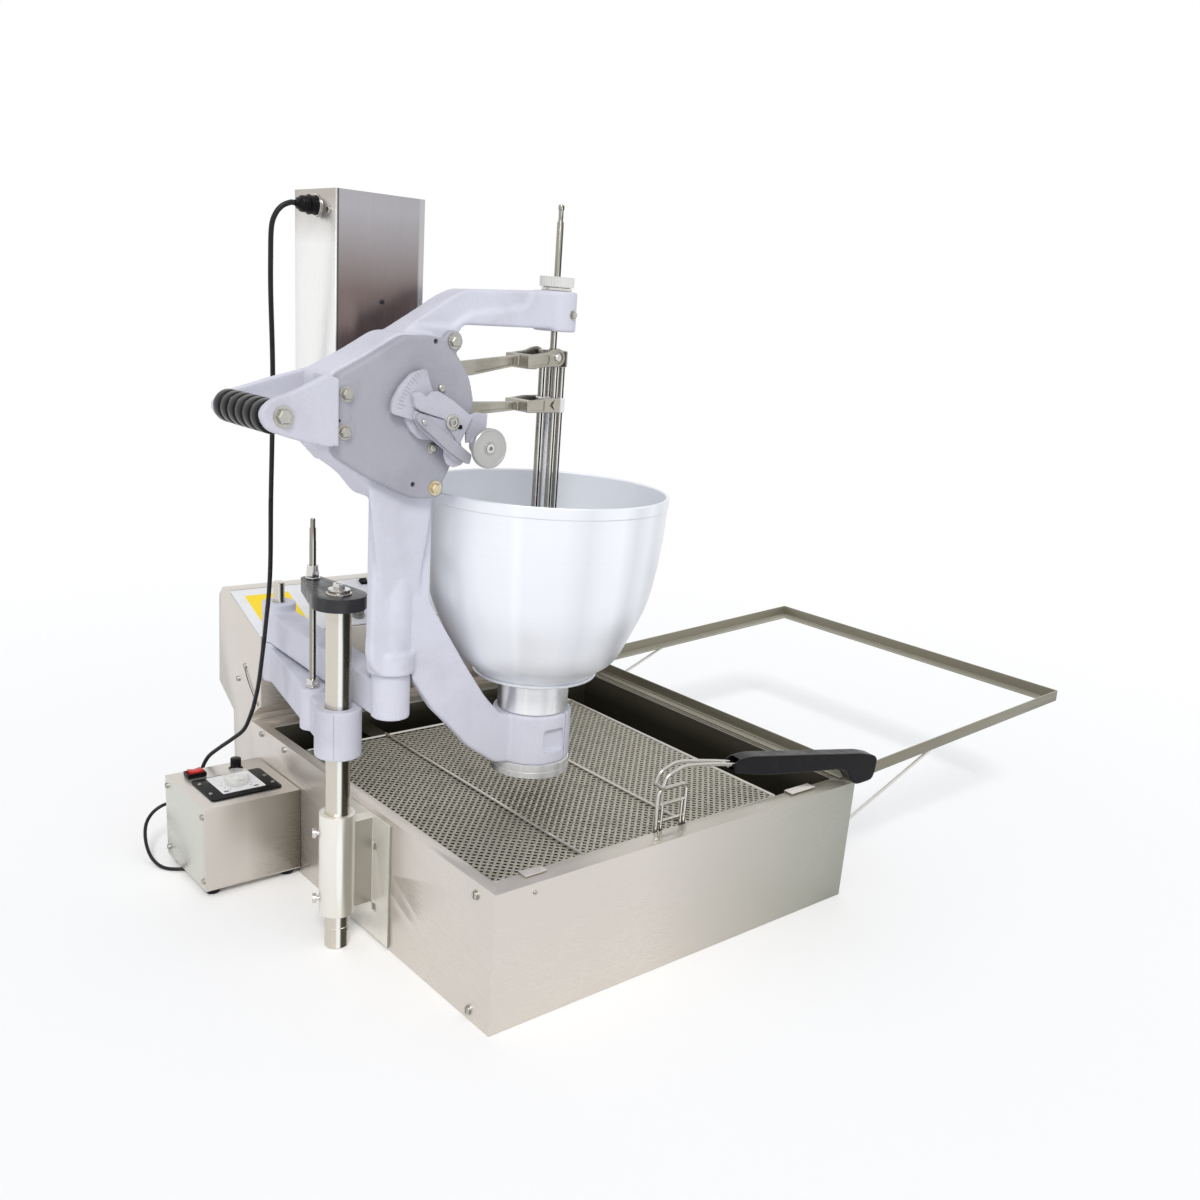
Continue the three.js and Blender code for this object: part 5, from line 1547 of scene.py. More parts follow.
def make_screen_handle():
    radius = 2.6
    hinge = floor_point(ARCH_X, ARCH_Y, SCREEN_LEVEL + ARCH_HEIGHT + FIT + radius)
    place = Matrix.Translation(hinge) @ z_turn(-7.4)
    fall = math.tan(math.radians(7.1))
    start = 116

    def grip_height(x):
        return 13 - (x - start) * fall

    wires = Shape()
    for side in (-1, 1):
        y = 8 * side
        route = [(0, y, 0), (5, y, 14), (17, y, 21), (37, y, 26),
                 (start - 30, y * 0.8, grip_height(start) + 7),
                 (start + 30, y * 0.6, grip_height(start + 30))]
        wires.join(tube(smooth_path([Vector(point) * MM for point in route], 6), radius * MM, 12))
    tie = grip_height(start - 8) + 1
    for x, reach, z in ((0, 10.6, 0), (start - 8, 8, tie)):
        wires.join(rod(Vector((x, -reach, z)) * MM, Vector((x, reach, z)) * MM, radius * MM, 12))
    finished(from_shape("screen_handle_rails", wires.moved(place)), wire_rod_steel(), "screen_handle",
             "bright_steel", "screen_handle_wire", angle=50)

    grip = from_node("screen_handle_moulding", "screen_handle_grip")
    weathered(grip, 0.9 * MM, 14)
    finished(grip, black_plastic(), "screen_handle", "black_plastic", "screen_handle_grip", angle=60)


# ---------------------------------------------------------------- head behind the fryer

def make_head():
    casing = soften(from_node("head_shell", "head_casing"), 1.6 * MM)
    finished(casing, brushed_steel(), "root", "casing_steel", "head_casing")
    panel = soften(from_node("control_panel_sheet", "head_panel"), 0.7 * MM)
    finished(panel, panel_paint(), "root", "label_panel", "head_panel")
    mould_thermostat()
    switch = soften(from_node("power_rocker_key", "power_switch"), 0.5 * MM)
    finished(switch, black_plastic(), "power_rocker", "black_plastic", "power_switch")

    bolts = [(floor_point(0, 685, 275), LEFTWARD), (floor_point(0, 713, 246), LEFTWARD)]
    fasteners("head_side_bolts", "pan", bolts, "root")
    probe = smooth_path([floor_point(-1.4, 685, 272), floor_point(-2.2, 672, 256),
                         floor_point(-2.0, 652, 236), floor_point(-1.4, 637.5, 224)], 8)
    finished(from_shape("thermostat_capillary", tube(probe, 0.8 * MM, 10)), oiled_steel(), "root",
             "tank_steel")


def mould_thermostat():
    """The lobed knob on its skirt, square to the sloping panel, with a white pointer."""
    place = facing((0, -0.3829, 0.9238), (-0.1572, 0.31725, 0.3458))
    lobes = 6
    outline = []
    for i in range(lobes * 8):
        angle = 2 * math.pi * i / (lobes * 8)
        reach = 8.6 + 1.0 * math.cos(lobes * angle)
        outline.append((reach * math.cos(angle), reach * math.sin(angle)))
    skirt = lathe([(0, 0.4), (10.8, 0.4), (11, 1.2), (10.8, 3.4), (9.6, 4.6), (0, 4.6)], 48)
    knob = from_shape("thermostat_dial", skirt.join(prism(outline, 4, 14.6)).moved(place))
    soften(knob, 0.5 * MM)
    finished(knob, grey_plastic(), "thermostat", "grey_plastic", "thermostat_knob")
    mark = from_shape("thermostat_pointer", block((-0.7, 2.5, 14.4), (0.7, 9.0, 15.0)).moved(place))
    finished(mark, panel_white(), "thermostat", "grey_plastic")


# ---------------------------------------------------------------- drain frame

def make_drain():
    tray = soften(from_node("drain_frame_sheet", "drain_frame"), 0.9 * MM)
    finished(tray, drain_steel(), "drain", "casing_steel", "drain_frame")
    bend_bail()


def bend_bail():
    """The drain frame's wire support: down on the near side, along the foot and up on the far side."""
    low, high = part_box("drain_strut")
    radius = 3 * MM
    bend = 10 * MM
    foot = Vector((low.x + radius, 0, low.z + radius))
    top = Vector((high.x - radius, 0, high.z - radius))
    near, rear = Vector((0, low.y + radius, 0)), Vector((0, high.y - radius, 0))
    down = (foot - top).normalized() * bend
    along = Vector((0, bend, 0))
    path = [top + near, foot + near - down]
    for step in range(1, 7):
        turn = math.radians(15 * step)
        path.append(foot + near - down * (1 - math.sin(turn)) + along * (1 - math.cos(turn)))
    for step in range(7):
        turn = math.radians(15 * step)
        path.append(foot + rear - down * (1 - math.cos(turn)) - along * (1 - math.sin(turn)))
    path.append(top + rear)
    finished(from_shape("drain_bail", tube(path, radius * 0.95, 12)), bright_steel(), "strut", "bright_steel",
             "drain_strut", angle=50)


# ---------------------------------------------------------------- column and its bracket

def make_column():
    radius = 16
    foot = over(COLUMN)
    profile = [(0, 0), (radius - 1.2, 0), (radius, 1.2), (radius, 30), (radius - 0.4, 30.4),
               (radius - 0.4, 31.4), (radius, 31.8), (radius, 489), (radius - 1, 490), (0, 490)]
    finished(from_shape("column_shaft", lathe(profile, 96).moved(foot)), column_steel(), "root",
             "bright_steel", "column")
    washer = [(0, 490.4), (13.8, 490.4), (14, 491), (13.8, 494), (12.6, 494.6), (9, 494.8), (0, 494.8)]
    cap = from_shape("column_cap", lathe(washer, 64).moved(foot))
    head = from_shape("column_cap_head", prism(circle(8.4, 6), 494.6, 501.0).moved(foot))
    cut_away(head, prism(circle(4.2, 6), 498, 502).moved(foot))
    soften(head, 0.6 * MM)
    finished(cap, bright_steel(), "root", "bright_steel", "column_cap_bolt")
    finished(head, bright_steel(), "root", "bright_steel")
    make_clamp()


def make_clamp():
    """The split clamp on the fryer's side, with two L-shaped slots and two clamp screws."""
    holder = from_node("column_clamp", "column_bracket")
    slots = []
    face = FRYER_LOW.x / MM
    for y, z in ((273, 139), (278, 49)):
        side = floor_point(0, y).y / MM
        slots.append(block((face - 8, side - 1.2, z - 6), (face - 1.4, side + 1.2, z + 6)))
        slots.append(block((face - 8, side - 1.2, z + 3), (face - 1.4, side + 5, z + 6)))
    cut_away(holder, *slots)
    soften(holder, 0.9 * MM, 2, 40)
    finished(holder, clamp_steel(), "root", "casing_steel", "column_bracket", angle=28)
    outwards = Vector((-0.9, 0.43, 0)).normalized()
    screws = Shape()
    for z in (165.4, 70):
        stud = lathe([(0, 0), (3.2, 0), (3.2, 3.6), (6.2, 3.8), (6.8, 4.6), (6.8, 8.2), (6.0, 9), (0, 9)], 32)
        screws.join(stud.moved(facing(outwards, Vector((COLUMN.x, COLUMN.y, z * MM)) + outwards * 22.8 * MM)))
    finished(from_shape("clamp_screws", screws), bright_steel(), "root", "bright_steel")


# ---------------------------------------------------------------- swinging links

def make_links():
    forge_top_plate()
    make_height_rod()
    cast_links()
    turn_pins()


def forge_top_plate():
    """The drop-shaped plate on the column, bored for the column and for the height rod."""
    rod_centre = middle("height_rod")
    toward = rod_centre - COLUMN
    turn = over(COLUMN) @ Matrix.Rotation(math.atan2(toward.y, toward.x), 4, "Z")
    plate = from_shape("top_plate_forging", prism(drop(34, 15, 85, 28), 471, 488).moved(turn))
    cut_away(plate, prism(circle(16.3, 40), 460, 500).moved(turn),
            prism(circle(4.8, 24), 460, 500).moved(over(rod_centre)))
    soften(plate, 2.2 * MM, 4, 50)
    finished(plate, black_enamel(), "swing_head", "black_plastic", "top_plate", angle=40)
    collar = lathe([(16.4, 468.6), (22, 468.6), (22, 470.9), (16.4, 470.9)], 64)
    finished(from_shape("top_plate_washer", collar.moved(over(COLUMN))), bright_steel(), "swing_head",
             "bright_steel")


def make_height_rod():
    """The threaded rod with its crowned upper nut and its lock nut."""
    at_rod = over(middle("height_rod"))
    for name, node, body, low, high in (("height_nut_upper", "height_nut", "swing_head", 488.3, 498.4),
                                        ("height_nut_lower", "height_lock_nut", "lower_arm", 341.3, 351.8)):
        washer = lathe([(4.7, low), (9.6, low), (9.6, low + 1.6), (4.7, low + 1.6)], 40)
        nut = from_shape(name, prism(circle(9.0, 6), low, high).join(washer).moved(at_rod))
        if node == "height_nut":
            ring = lathe([(4.7, 498.3), (7.4, 498.3), (7.0, 505.6), (4.7, 506)], 40)
            crown = from_shape("height_nut_crown", ring.moved(at_rod))
            finished(crown, bright_steel(), body, "bright_steel")
        soften(nut, 0.7 * MM)
        finished(nut, bright_steel(), body, "bright_steel", node)
    profile = [(0, 300), (4.4, 300), (4.4, 536), (4.2, 537), (4.2, 553), (3.2, 555), (3.2, 565), (2.6, 566),
               (0, 566)]
    finished(from_shape("height_rod_thread", lathe(profile, 20).moved(at_rod)), rod_steel(), "lower_arm",
             "bright_steel", "height_rod", angle=50)


def cast_links():
    casting = settings().casting
    lower = from_node("lower_link_casting", "lower_link")
    weathered(lower, casting.small_grain * 1.35, casting.rounding)
    seam = block((-0.4, -31, 270), (0.4, -28.9, 345))
    cut_away(lower, seam.moved(over(COLUMN) @ z_turn(-38)))
    # Painted shade: each link gets its own darker copy of the cast colour.
    finished(lower, cast_aluminium("lower_aluminium", 0.93), "lower_arm", "cast_aluminium", "lower_link",
             angle=60)
    upper = from_node("upper_link_casting", "upper_link")
    weathered(upper, casting.small_grain * 1.35, casting.rounding)
    finished(upper, cast_aluminium("upper_aluminium", 0.98), "upper_arm", "cast_aluminium", "upper_link",
             angle=60)


def turn_pins():
    pin = lathe([(0, 288), (8.4, 288), (8.4, 428.6), (7.2, 430), (0, 430)], 48)
    finished(from_shape("link_pin_steel", pin.moved(over(FIRST_PIVOT))), column_steel(), "upper_arm",
             "bright_steel", "link_pin")
    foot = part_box("hinge_pin")[0].z / MM
    pin = lathe([(0, foot), (11.9, foot), (11.9, 518.8), (10.7, 520), (0, 520)], 48)
    finished(from_shape("hinge_pin_steel", pin.moved(over(HINGE))), bright_steel(), "upper_arm",
             "bright_steel", "hinge_pin")


# ---------------------------------------------------------------- depositor castings

def make_castings():
    cast_frame()
    cast_cover()
    casting = settings().casting
    bracket = from_node("front_bracket_casting", "front_handle_bracket")
    weathered(bracket, casting.small_grain * 1.2, casting.rounding + 2)
    # Painted shade: a darker copy of the cast colour for the bracket.
    finished(bracket, cast_aluminium("bracket_aluminium", 0.93), "depositor", "cast_aluminium",
             "front_handle_bracket", angle=60)
    bolt_castings()


def cast_frame():
    """The depositor's frame: hinge boss, leg, arm and the split ring about the cylinder."""
    casting = settings().casting
    place = over(HINGE)
    body = from_node("depositor_casting", "depositor_frame")
    channel = slab([(60, 815), (70.5, 822), (86.7, 831), (123, 836), (160, 841), (167, 846), (172, 856),
                    (178, 880), (40, 880), (-60, 815)], -40, -16.6)
    cut_away(body, channel.moved(place))
    boss = ball((25, 31, 19), (0, 0, 416))
    leg = hull([(-62, -44, 652), (24, -44, 640), (-54, -42, 610), (26, -40, 600), (-25, -20, 500),
                (25, -20, 500), (-36, -10, 652), (26, -10, 640), (-27, -10, 590), (26, -10, 590),
                (-25, -10, 490), (25, -10, 490)])
    web = hull([(-104, -44, 690), (-100, -44, 678), (-60, -44, 646), (-50, -44, 690), (-100, -12, 690),
                (-96, -12, 678), (-42, -12, 646), (-42, -12, 690)])
    for extra in (boss, leg, web):
        merge_in(body, extra.moved(place))
    weathered(body, casting.grain, casting.rounding)
    about_nozzle = place @ Matrix.Translation((NOZZLE_REACH * MM, 0, 0))
    window = slab(rounded([(-16, 266), (18, 266), (18, 300), (-16, 300)], 8, 6), -62, -47)
    split = block((-1, -70, 250), (1, -44, 325))
    cut_away(body, window.moved(about_nozzle @ z_turn(-1.5)),
            split.moved(about_nozzle @ z_turn(22)))
    finished(body, cast_aluminium(), "depositor", "cast_aluminium", "depositor_frame", angle=60)


def cast_cover():
    """The gear cover with its lobes, bolt pads and three small holes."""
    casting = settings().casting
    place = over(HINGE)
    cover = from_node("gear_cover_casting", "gear_cover")
    tail = [(-30, 660), (-8.8, 633.8), (-4, 627), (-1, 624.4), (13.4, 623.4), (15.2, 625), (16, 640),
            (14, 660)]
    rounds = [axle(radius, x, z, front, -45) for radius, x, z, front in (
        (9, -100, 727, -56.5), (7.5, -97, 716, -56.5), (7.5, -103, 712, -56.5), (12, 39.7, 800, -55.4),
        (12, 20.2, 635, -55.4), (12.5, -94.5, 740, -56.2), (12.5, -96.5, 700, -56.2))]
    for part in (*rounds[:3], slab(tail, -55, -45), *rounds[3:]):
        merge_in(cover, part.moved(place))
    weathered(cover, casting.grain * 0.75, casting.rounding + 2)
    holes = [axle(3.0, 16, 799, -60, -47), axle(3.0, -9, 640, -60, -47), axle(2.0, -103, 712, -60, -50)]
    cut_away(cover, *(hole.moved(place) for hole in holes))
    # Painted shade: the cover gets a much darker copy of the cast colour, for the shade that it lies in.
    finished(cover, cast_aluminium("cover_aluminium", 0.61), "depositor", "cast_aluminium", "gear_cover",
             angle=60)


def bolt_castings():
    front = -55.4
    big = [(39.7, 800), (-94.5, 740), (-96.5, 700)]
    fasteners("cover_bolts", "hex", [(hinge_point(x, front - 0.6, z), FORWARD) for x, z in big], "depositor")
    fasteners("cover_brass_bolt", "hex", [(hinge_point(20.2, front, 635), FORWARD)], "depositor", brass())
    fasteners("bracket_bolt", "bolt", [(hinge_point(-171.4, -66.5, 717.5), FORWARD)], "depositor")
    fasteners("cover_studs", "small_hex", [(hinge_point(15, front + 0.4, 681), FORWARD)], "depositor")
    fasteners("cover_screw", "pan", [(hinge_point(25, front + 0.4, 748), FORWARD)], "depositor")
    side = Vector((math.cos(math.radians(-70)), math.sin(math.radians(-70)), 0))
    seat = hinge_point(NOZZLE_REACH, 0, 837) + side * 25.6 * MM
    fasteners("nose_set_screw", "small_hex", [(seat, side)], "depositor")


def make_grip():
    low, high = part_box("handle_grip")
    long = (high.y - low.y) / MM
    centre = middle("handle_grip")
    profile = [(0, 0), (15.5, 0), (16, 0.6)]
    bands = 6
    step = long / bands
    for band in range(bands):
        at = band * step
        profile += [(16, at + 0.8), (17.4, at + 1.6), (18, at + 3.4), (18, at + step - 3.4),
                    (17.4, at + step - 1.6), (16, at + step - 0.9)]
    profile += [(16, long - 0.5), (15.4, long), (0, long)]
    grip = lathe(profile, 64).moved(facing((0, 1, 0), (centre.x, low.y, centre.z)))
    finished(from_shape("handle_grip_rubber", grip), rubber(), "depositor", "rubber", "handle_grip", angle=50)


# ---------------------------------------------------------------- motor

def make_motor():
    housing = from_node("motor_housing_sheet", "motor_housing")
    seam = block((-47.5, 60, 640), (-46.6, 61.2, 955)).moved(over(HINGE))
    cut_away(housing, seam)
    soften(housing, 1.5 * MM)
    finished(housing, housing_steel(), "depositor", "casing_steel", "motor_housing")
    motor = soften(from_node("motor_body", "motor"), 2 * MM)
    finished(motor, lever_steel(), "depositor", "tank_steel", "motor")
    make_connector()

    low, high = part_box("motor_housing")
    side = [(Vector((low.x, HINGE.y + 76 * MM, 931 * MM)), LEFTWARD)]
    fasteners("housing_side_screw", "pan", side, "depositor")
    # A small black pan head stands in for a small hole: painted shade.
    front = [(Vector((HINGE.x + 12.8 * MM, low.y, 835.8 * MM)), FORWARD)]
    fasteners("housing_front_rivet", "small_pan", front, "depositor", printed_black())
    back = [(Vector((x, high.y, z * MM)), (0, 1, 0)) for x in (low.x + 12 * MM, high.x - 12 * MM)
            for z in (680, 940)]
    fasteners("housing_back_screws", "pan", back, "depositor")


def make_connector():
    """The ribbed connector on the housing's side, from its flange to the cord, and its bright ring."""
    centre = middle("motor_connector")
    profile = [(0, 0), (11, 0), (11, 2.4), (10.2, 3), (10.2, 8.4), (11, 9), (11, 10), (9.2, 10.6),
               (9.2, 12.5)]
    for rib in range(3):
        at = 13 + rib * 2.2
        profile += [(8.6, at), (9.2, at + 0.8), (8.6, at + 1.6)]
    profile += [(8.4, 20), (6.5, 21), (6.2, 23.5), (4.4, 24), (3.6, 26), (0, 26)]
    place = facing(LEFTWARD, (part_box("motor_connector")[1].x, centre.y, centre.z))
    finished(from_shape("motor_connector_shell", lathe(profile, 40).moved(place)), black_plastic(),
             "depositor", "black_plastic", "motor_connector")
    ring = lathe([(9.0, 0), (12.4, 0), (12.4, 1.4), (9.0, 1.4)], 40)
    finished(from_shape("motor_connector_ring", ring.moved(place)), bright_steel(), "depositor",
             "bright_steel")


# ---------------------------------------------------------------- hopper and nozzle

def make_hopper():
    spin_bowl()
    turn_cylinder()


def spin_bowl():
    """The hopper: one wall of even thickness from the throat's flange up to the rolled rim."""
    look = settings().hopper
    wall = look.wall / MM
    outer = bowed([(79, 369.5), (88, 379.2), (110.4, 398), (129, 436), (145.5, 477), (155, 525), (160.0, 570),
                   (161.7, 605)])
    inner = []
    for i, (r, z) in enumerate(outer):
        before, after = outer[max(i - 1, 0)], outer[min(i + 1, len(outer) - 1)]
        slope = Vector((after[0] - before[0], after[1] - before[1])).normalized()
        inner.append((r - slope.y * wall, z + slope.x * wall))
    rim = [(162.0, 605.4), (163.2, 606.4), (163.2, 618.6), (162.4, 619.8), (161.2, 620), (159.6, 619.6),
           (158.7, 618), (158.7, 606)]
    throat = 38.3
    profile = [(throat, 368.1), (81, 368.1), (83.6, 369), (84.2, 371), (82.6, 372.6), *outer[2:], *rim,
               *inner[::-1][1:-6], (throat + 18, 373), (throat, 372)]
    bowl = from_shape("hopper_bowl", lathe(profile, look.segments).moved(over(NOZZLE)))
    finished(bowl, spun_aluminium(), "depositor", "spun_aluminium", "hopper", angle=28)


def turn_cylinder():
    barrel = [(38, 229), (52.5, 229), (54.4, 230.2), (54.4, 238), (53.2, 238.4), (53.2, 239.6), (54.4, 240),
              (54.4, 248.8), (53.6, 249.4), (44, 249.4), (44, 318.7), (47.6, 318.7), (48.4, 319.6),
              (48.4, 356), (47.6, 356.6), (47.6, 358.4), (48.4, 359), (48.4, 367), (47.6, 367.6), (38, 367.6)]
    finished(from_shape("cylinder_barrel", lathe(barrel, 112).moved(over(NOZZLE))), turned_aluminium(),
             "depositor", "bright_steel", "cylinder", angle=28)


# ---------------------------------------------------------------- plunger and levers

def make_plunger():
    pitch, turn = 13.2, math.radians(69.6)
    turns = [turn + math.pi * i / 2 for i in range(4)]
    rod_places = [(pitch * math.cos(angle), pitch * math.sin(angle)) for angle in turns]
    make_piston(rod_places)
    make_sleeve(rod_places)
    make_guide_nut()


def make_piston(rod_places):
    """The piston's disc, its four rods, the head that joins them and the guide rod above."""
    place = over(NOZZLE)
    rods = lathe([(7.4, 300), (36.4, 300), (37.3, 301), (37.3, 319), (36.4, 320), (7.4, 320)], 80)
    for x, y in rod_places:
        shaft = lathe([(0, 318), (4.0, 318), (4.0, 774), (0, 774)], 24)
        rods.join(shaft.moved(Matrix.Translation((x * MM, y * MM, 0))))
    rods.join(lathe([(0, 773), (17.8, 773), (18.9, 774), (18.9, 792), (17.8, 793), (6, 793), (5.4, 794.4),
                     (4.2, 794.8), (4.2, 944), (3.0, 946), (3.0, 958), (3.8, 959), (3.8, 963), (2.8, 964.6),
                     (0, 964.6)], 48))
    finished(from_shape("piston_and_rods", rods.moved(place)), rod_steel(), "piston", "bright_steel",
             "piston_rods")


def make_sleeve(rod_places):
    """The cutter's disc and its sleeve, whose head lets the piston's rods through."""
    place = over(NOZZLE)
    sleeve = lathe([(0, 230.6), (34.8, 230.6), (36.4, 231.8), (36.4, 235.6), (35.4, 236.4), (7, 237),
                    (7, 717), (18, 717), (18.9, 718), (18.9, 734), (18, 735), (0, 735)], 64)
    cutter = from_shape("cutter_and_sleeve", sleeve.moved(place))
    holes = [prism(circle(4.2, 20, x, y), 710, 740).moved(place) for x, y in rod_places]
    cut_away(cutter, *holes)
    finished(cutter, turned_aluminium(), "cutter", "bright_steel", "cutter_sleeve")


def make_guide_nut():
    """The knurled nut about the guide rod, on its flange."""
    place = over(NOZZLE)
    knurls = []
    ribs = 40
    for i in range(2 * ribs):
        angle = math.pi * i / ribs
        r = 21.6 - 0.9 * (i % 2)
        knurls.append((r * math.cos(angle), r * math.sin(angle)))
    nut = from_shape("guide_nut_knurl", prism(knurls, 869, 880.8).moved(place))
    cut_away(nut, prism(circle(4.5, 24), 860, 890).moved(place))
    finished(nut, pale_aluminium(), "guide_nut", "bright_steel", "guide_nut", angle=20)
    flange = lathe([(4.5, 864.4), (18.6, 864.4), (19.2, 865), (19.2, 867.6), (16.5, 868.4), (16.5, 869.2),
                    (4.5, 869.2)], 64)
    finished(from_shape("guide_nut_flange", flange.moved(place)), bright_steel(), "guide_nut", "bright_steel")


def along_lever(x0, z0, x1, z1):
    """Heights above a lever's middle line, from its pivot to its pin."""
    slope = (z1 - z0) / (x1 - x0)
    return lambda x, above: (x, z0 + (x - x0) * slope + above)


UPPER_PIN_X = 214
FORK_SIDES = ((-24, -19.4), (19.4, 24))


def make_levers():
    forge_upper_lever()
    forge_lower_lever()
    pins = Shape()
    for side in (-1, 1):
        ring = lathe([(0, 0), (4.6, 0), (4.6, 2.2), (3.8, 3.0), (1.4, 3.0), (1.2, 2.2), (0, 2.2)], 32)
        pins.join(ring.moved(facing((0, side, 0), hinge_point(UPPER_PIN_X, side * 22.4, 785))))
    finished(from_shape("upper_lever_pins", pins), bright_steel(), "piston_lever", "bright_steel")
    crank = soften(from_node("crank_disc", "crank_wheel"), 1.0 * MM)
    finished(crank, lever_steel(), "crank", "tank_steel", "crank_wheel")


def forge_lever(name, shape, cuts, body, node):
    """A forged fork lever: its parts under one skin, with the recesses cut afterwards."""
    piece = from_shape(name, shape.moved(over(HINGE)))
    weathered(piece, 0.8 * MM, 2)
    cut_away(piece, *(cut.moved(over(HINGE)) for cut in cuts))
    finished(piece, lever_steel(), body, "bright_steel", node, angle=50)


def forge_upper_lever():
    """The lever that works the piston: a bar, its pivot, a bridge and two cheeks with eyes."""
    bar = along_lever(35, 761, NOZZLE_REACH, 783)
    shape = slab([bar(35, -9), bar(100, -9), bar(168, -3.6), bar(168, 8.6), bar(100, 8.4), bar(35, 8)], -5, 5)
    shape.join(axle(12, 35, 761, -7, 7))
    shape.join(block((168, -24, 770), (182, 24, 787)))
    cheek = [(170, 770), (170, 786.6), (196, 790.6), (206, 794.6), (214, 796), (214, 774), (200, 773.4)]
    for front, back in FORK_SIDES:
        shape.join(slab(cheek, front, back)).join(axle(11, UPPER_PIN_X, 785, front, back, 40))
    recess = [bar(104, -6.2), bar(160, -1.8), bar(160, 6.4), bar(104, 6.0)]
    cuts = [slab(recess, -9, -2.4), slab(recess, 2.4, 9),
            slab([(175, 773.4), (175, 784.4), (196, 788), (201, 786), (200, 777)], -27, -22.8),
            axle(7.6, UPPER_PIN_X, 785, -27, -22.6, 32)]
    forge_lever("upper_fork_lever", shape, cuts, "piston_lever", "upper_lever")


def forge_lower_lever():
    """The lever that works the cutter: a bar, its pivot, a bridge and two notched cheeks."""
    bar = along_lever(50, 720, NOZZLE_REACH, 725)
    shape = slab([bar(50, -8), bar(120, -8), bar(170, -4.6), bar(170, 5.6), bar(120, 6), bar(50, 8)], -5, 5)
    shape.join(axle(10, 50, 720, -7, 7))
    shape.join(block((170, -24, 717.6), (184, 24, 731.6)))
    cheek = [(172, 717.2), (172, 731.4), (198, 735), (222, 735.4), (222, 717.4)]
    for front, back in FORK_SIDES:
        shape.join(slab(cheek, front, back))
    cuts = [slab([bar(112, -5), bar(163, -2.4), bar(163, 3.6), bar(112, 3.4)], -9, -2.4),
            slab([(176, 720), (176, 729), (197, 732.4), (197, 720)], -27, -22.8),
            slab([(203, 727), (213, 733.6), (209.4, 727), (213, 720.4)], -27, -20.6)]
    forge_lever("lower_fork_lever", shape, cuts, "cutter_lever", "lower_lever")


def make_stroke_adjuster():
    cast_sector()
    cast_stroke_lever()
    fit_link_bar()
    turn_stroke_knob()


def cast_sector():
    """The sector plate, with tick marks cut along its rim."""
    sector = from_node("stroke_sector", "sector_plate")
    face = (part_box("sector_plate")[0].y - HINGE.y) / MM
    ticks = []
    for i in range(14):
        inner = 60.5 if i % 4 else 57
        lean = Matrix.Rotation(-math.radians(121 + 3.6 * i), 4, "Y")
        tick = block((inner, -0.55, -0.55), (66.5, 0.55, 0.55))
        ticks.append(tick.moved(Matrix.Translation(hinge_point(28, face, 713)) @ lean))
    cut_away(sector, *ticks)
    soften(sector, 0.7 * MM, 2)
    finished(sector, adjuster_aluminium(), "depositor", "cast_aluminium", "sector_plate", angle=40)


def cast_stroke_lever():
    """The stroke lever: stepped plates, a pivot's boss and a stud under one cast skin."""
    handle = [(-21.8, 740.9), (-18, 744.4), (-12.5, 745), (-8, 742), (-4, 739.1), (0, 742.6), (4.6, 745.2),
              (11.3, 745.9), (29.9, 736.4), (57, 717.9), (39.6, 684.6), (19.8, 715.6), (-12, 724),
              (-18.6, 728.6)]
    web = [(-16.7, 724.4), (-11, 722.4), (20.6, 714.2), (44, 688), (50, 672.6), (40, 668), (-10, 704),
           (-19, 716)]
    nose = [(50, 712), (57, 720), (64.6, 722.7), (80.1, 720.7), (79, 704.8), (66, 690), (52, 688)]
    hook = [(23, 688), (22.4, 674), (27, 664), (36, 660), (46, 662.6), (51.6, 668), (47.4, 674), (40, 671.6),
            (34, 673.4), (33.4, 684), (44, 690)]
    lever = from_shape("stroke_lever_plates", Shape())
    for outline, front in ((handle, -72.8), (web, -70.6), (nose, -69.4), (hook, -68.6)):
        merge_in(lever, slab(outline, front, -66).moved(over(HINGE)))
    for boss in (axle(13, 29, 713, -66.4, -65.8), axle(9.5, 67, 685, -75, -66)):
        merge_in(lever, boss.moved(over(HINGE)))
    weathered(lever, 0.6 * MM, 3)
    finished(lever, adjuster_aluminium(), "stroke_lever", "cast_aluminium", "stroke_lever", angle=50)


def fit_link_bar():
    """The bar across the stroke lever, with its hub, its screw and a small black catch."""
    bar = rounded([(-20, 718), (-17, 722.4), (-11, 721.4), (54, 675.6), (51, 664), (24, 679.6), (-10, 706),
                   (-19, 713)], 3, 3)
    piece = from_shape("stroke_link_bar", slab(bar, -79, -72.2).moved(over(HINGE)))
    soften(piece, 1.2 * MM, 3)
    finished(piece, cast_aluminium("link_aluminium", 0.66), "stroke_lever", "cast_aluminium")
    hub = lathe([(0, 0), (9, 0), (9, 1.4), (8.2, 1.9), (6.6, 1.9), (6.2, 0.9), (5.2, 0.9), (4.8, 2.8),
                 (2.4, 2.8), (2.0, 1.2), (0, 1.2)], 48)
    finished(from_shape("stroke_hub", hub.moved(facing(FORWARD, hinge_point(30.4, -72.6, 712)))),
             screw_steel(), "stroke_lever", "bright_steel")
    fasteners("stroke_bar_screw", "small_pan", [(hinge_point(-11, -79, 713), FORWARD)], "stroke_lever")
    catch = from_shape("stroke_catch", block((37.6, -74.4, 704.6), (42.4, -72.6, 709)).moved(over(HINGE)))
    finished(soften(catch, 0.4 * MM), black_plastic(), "stroke_lever", "black_plastic")


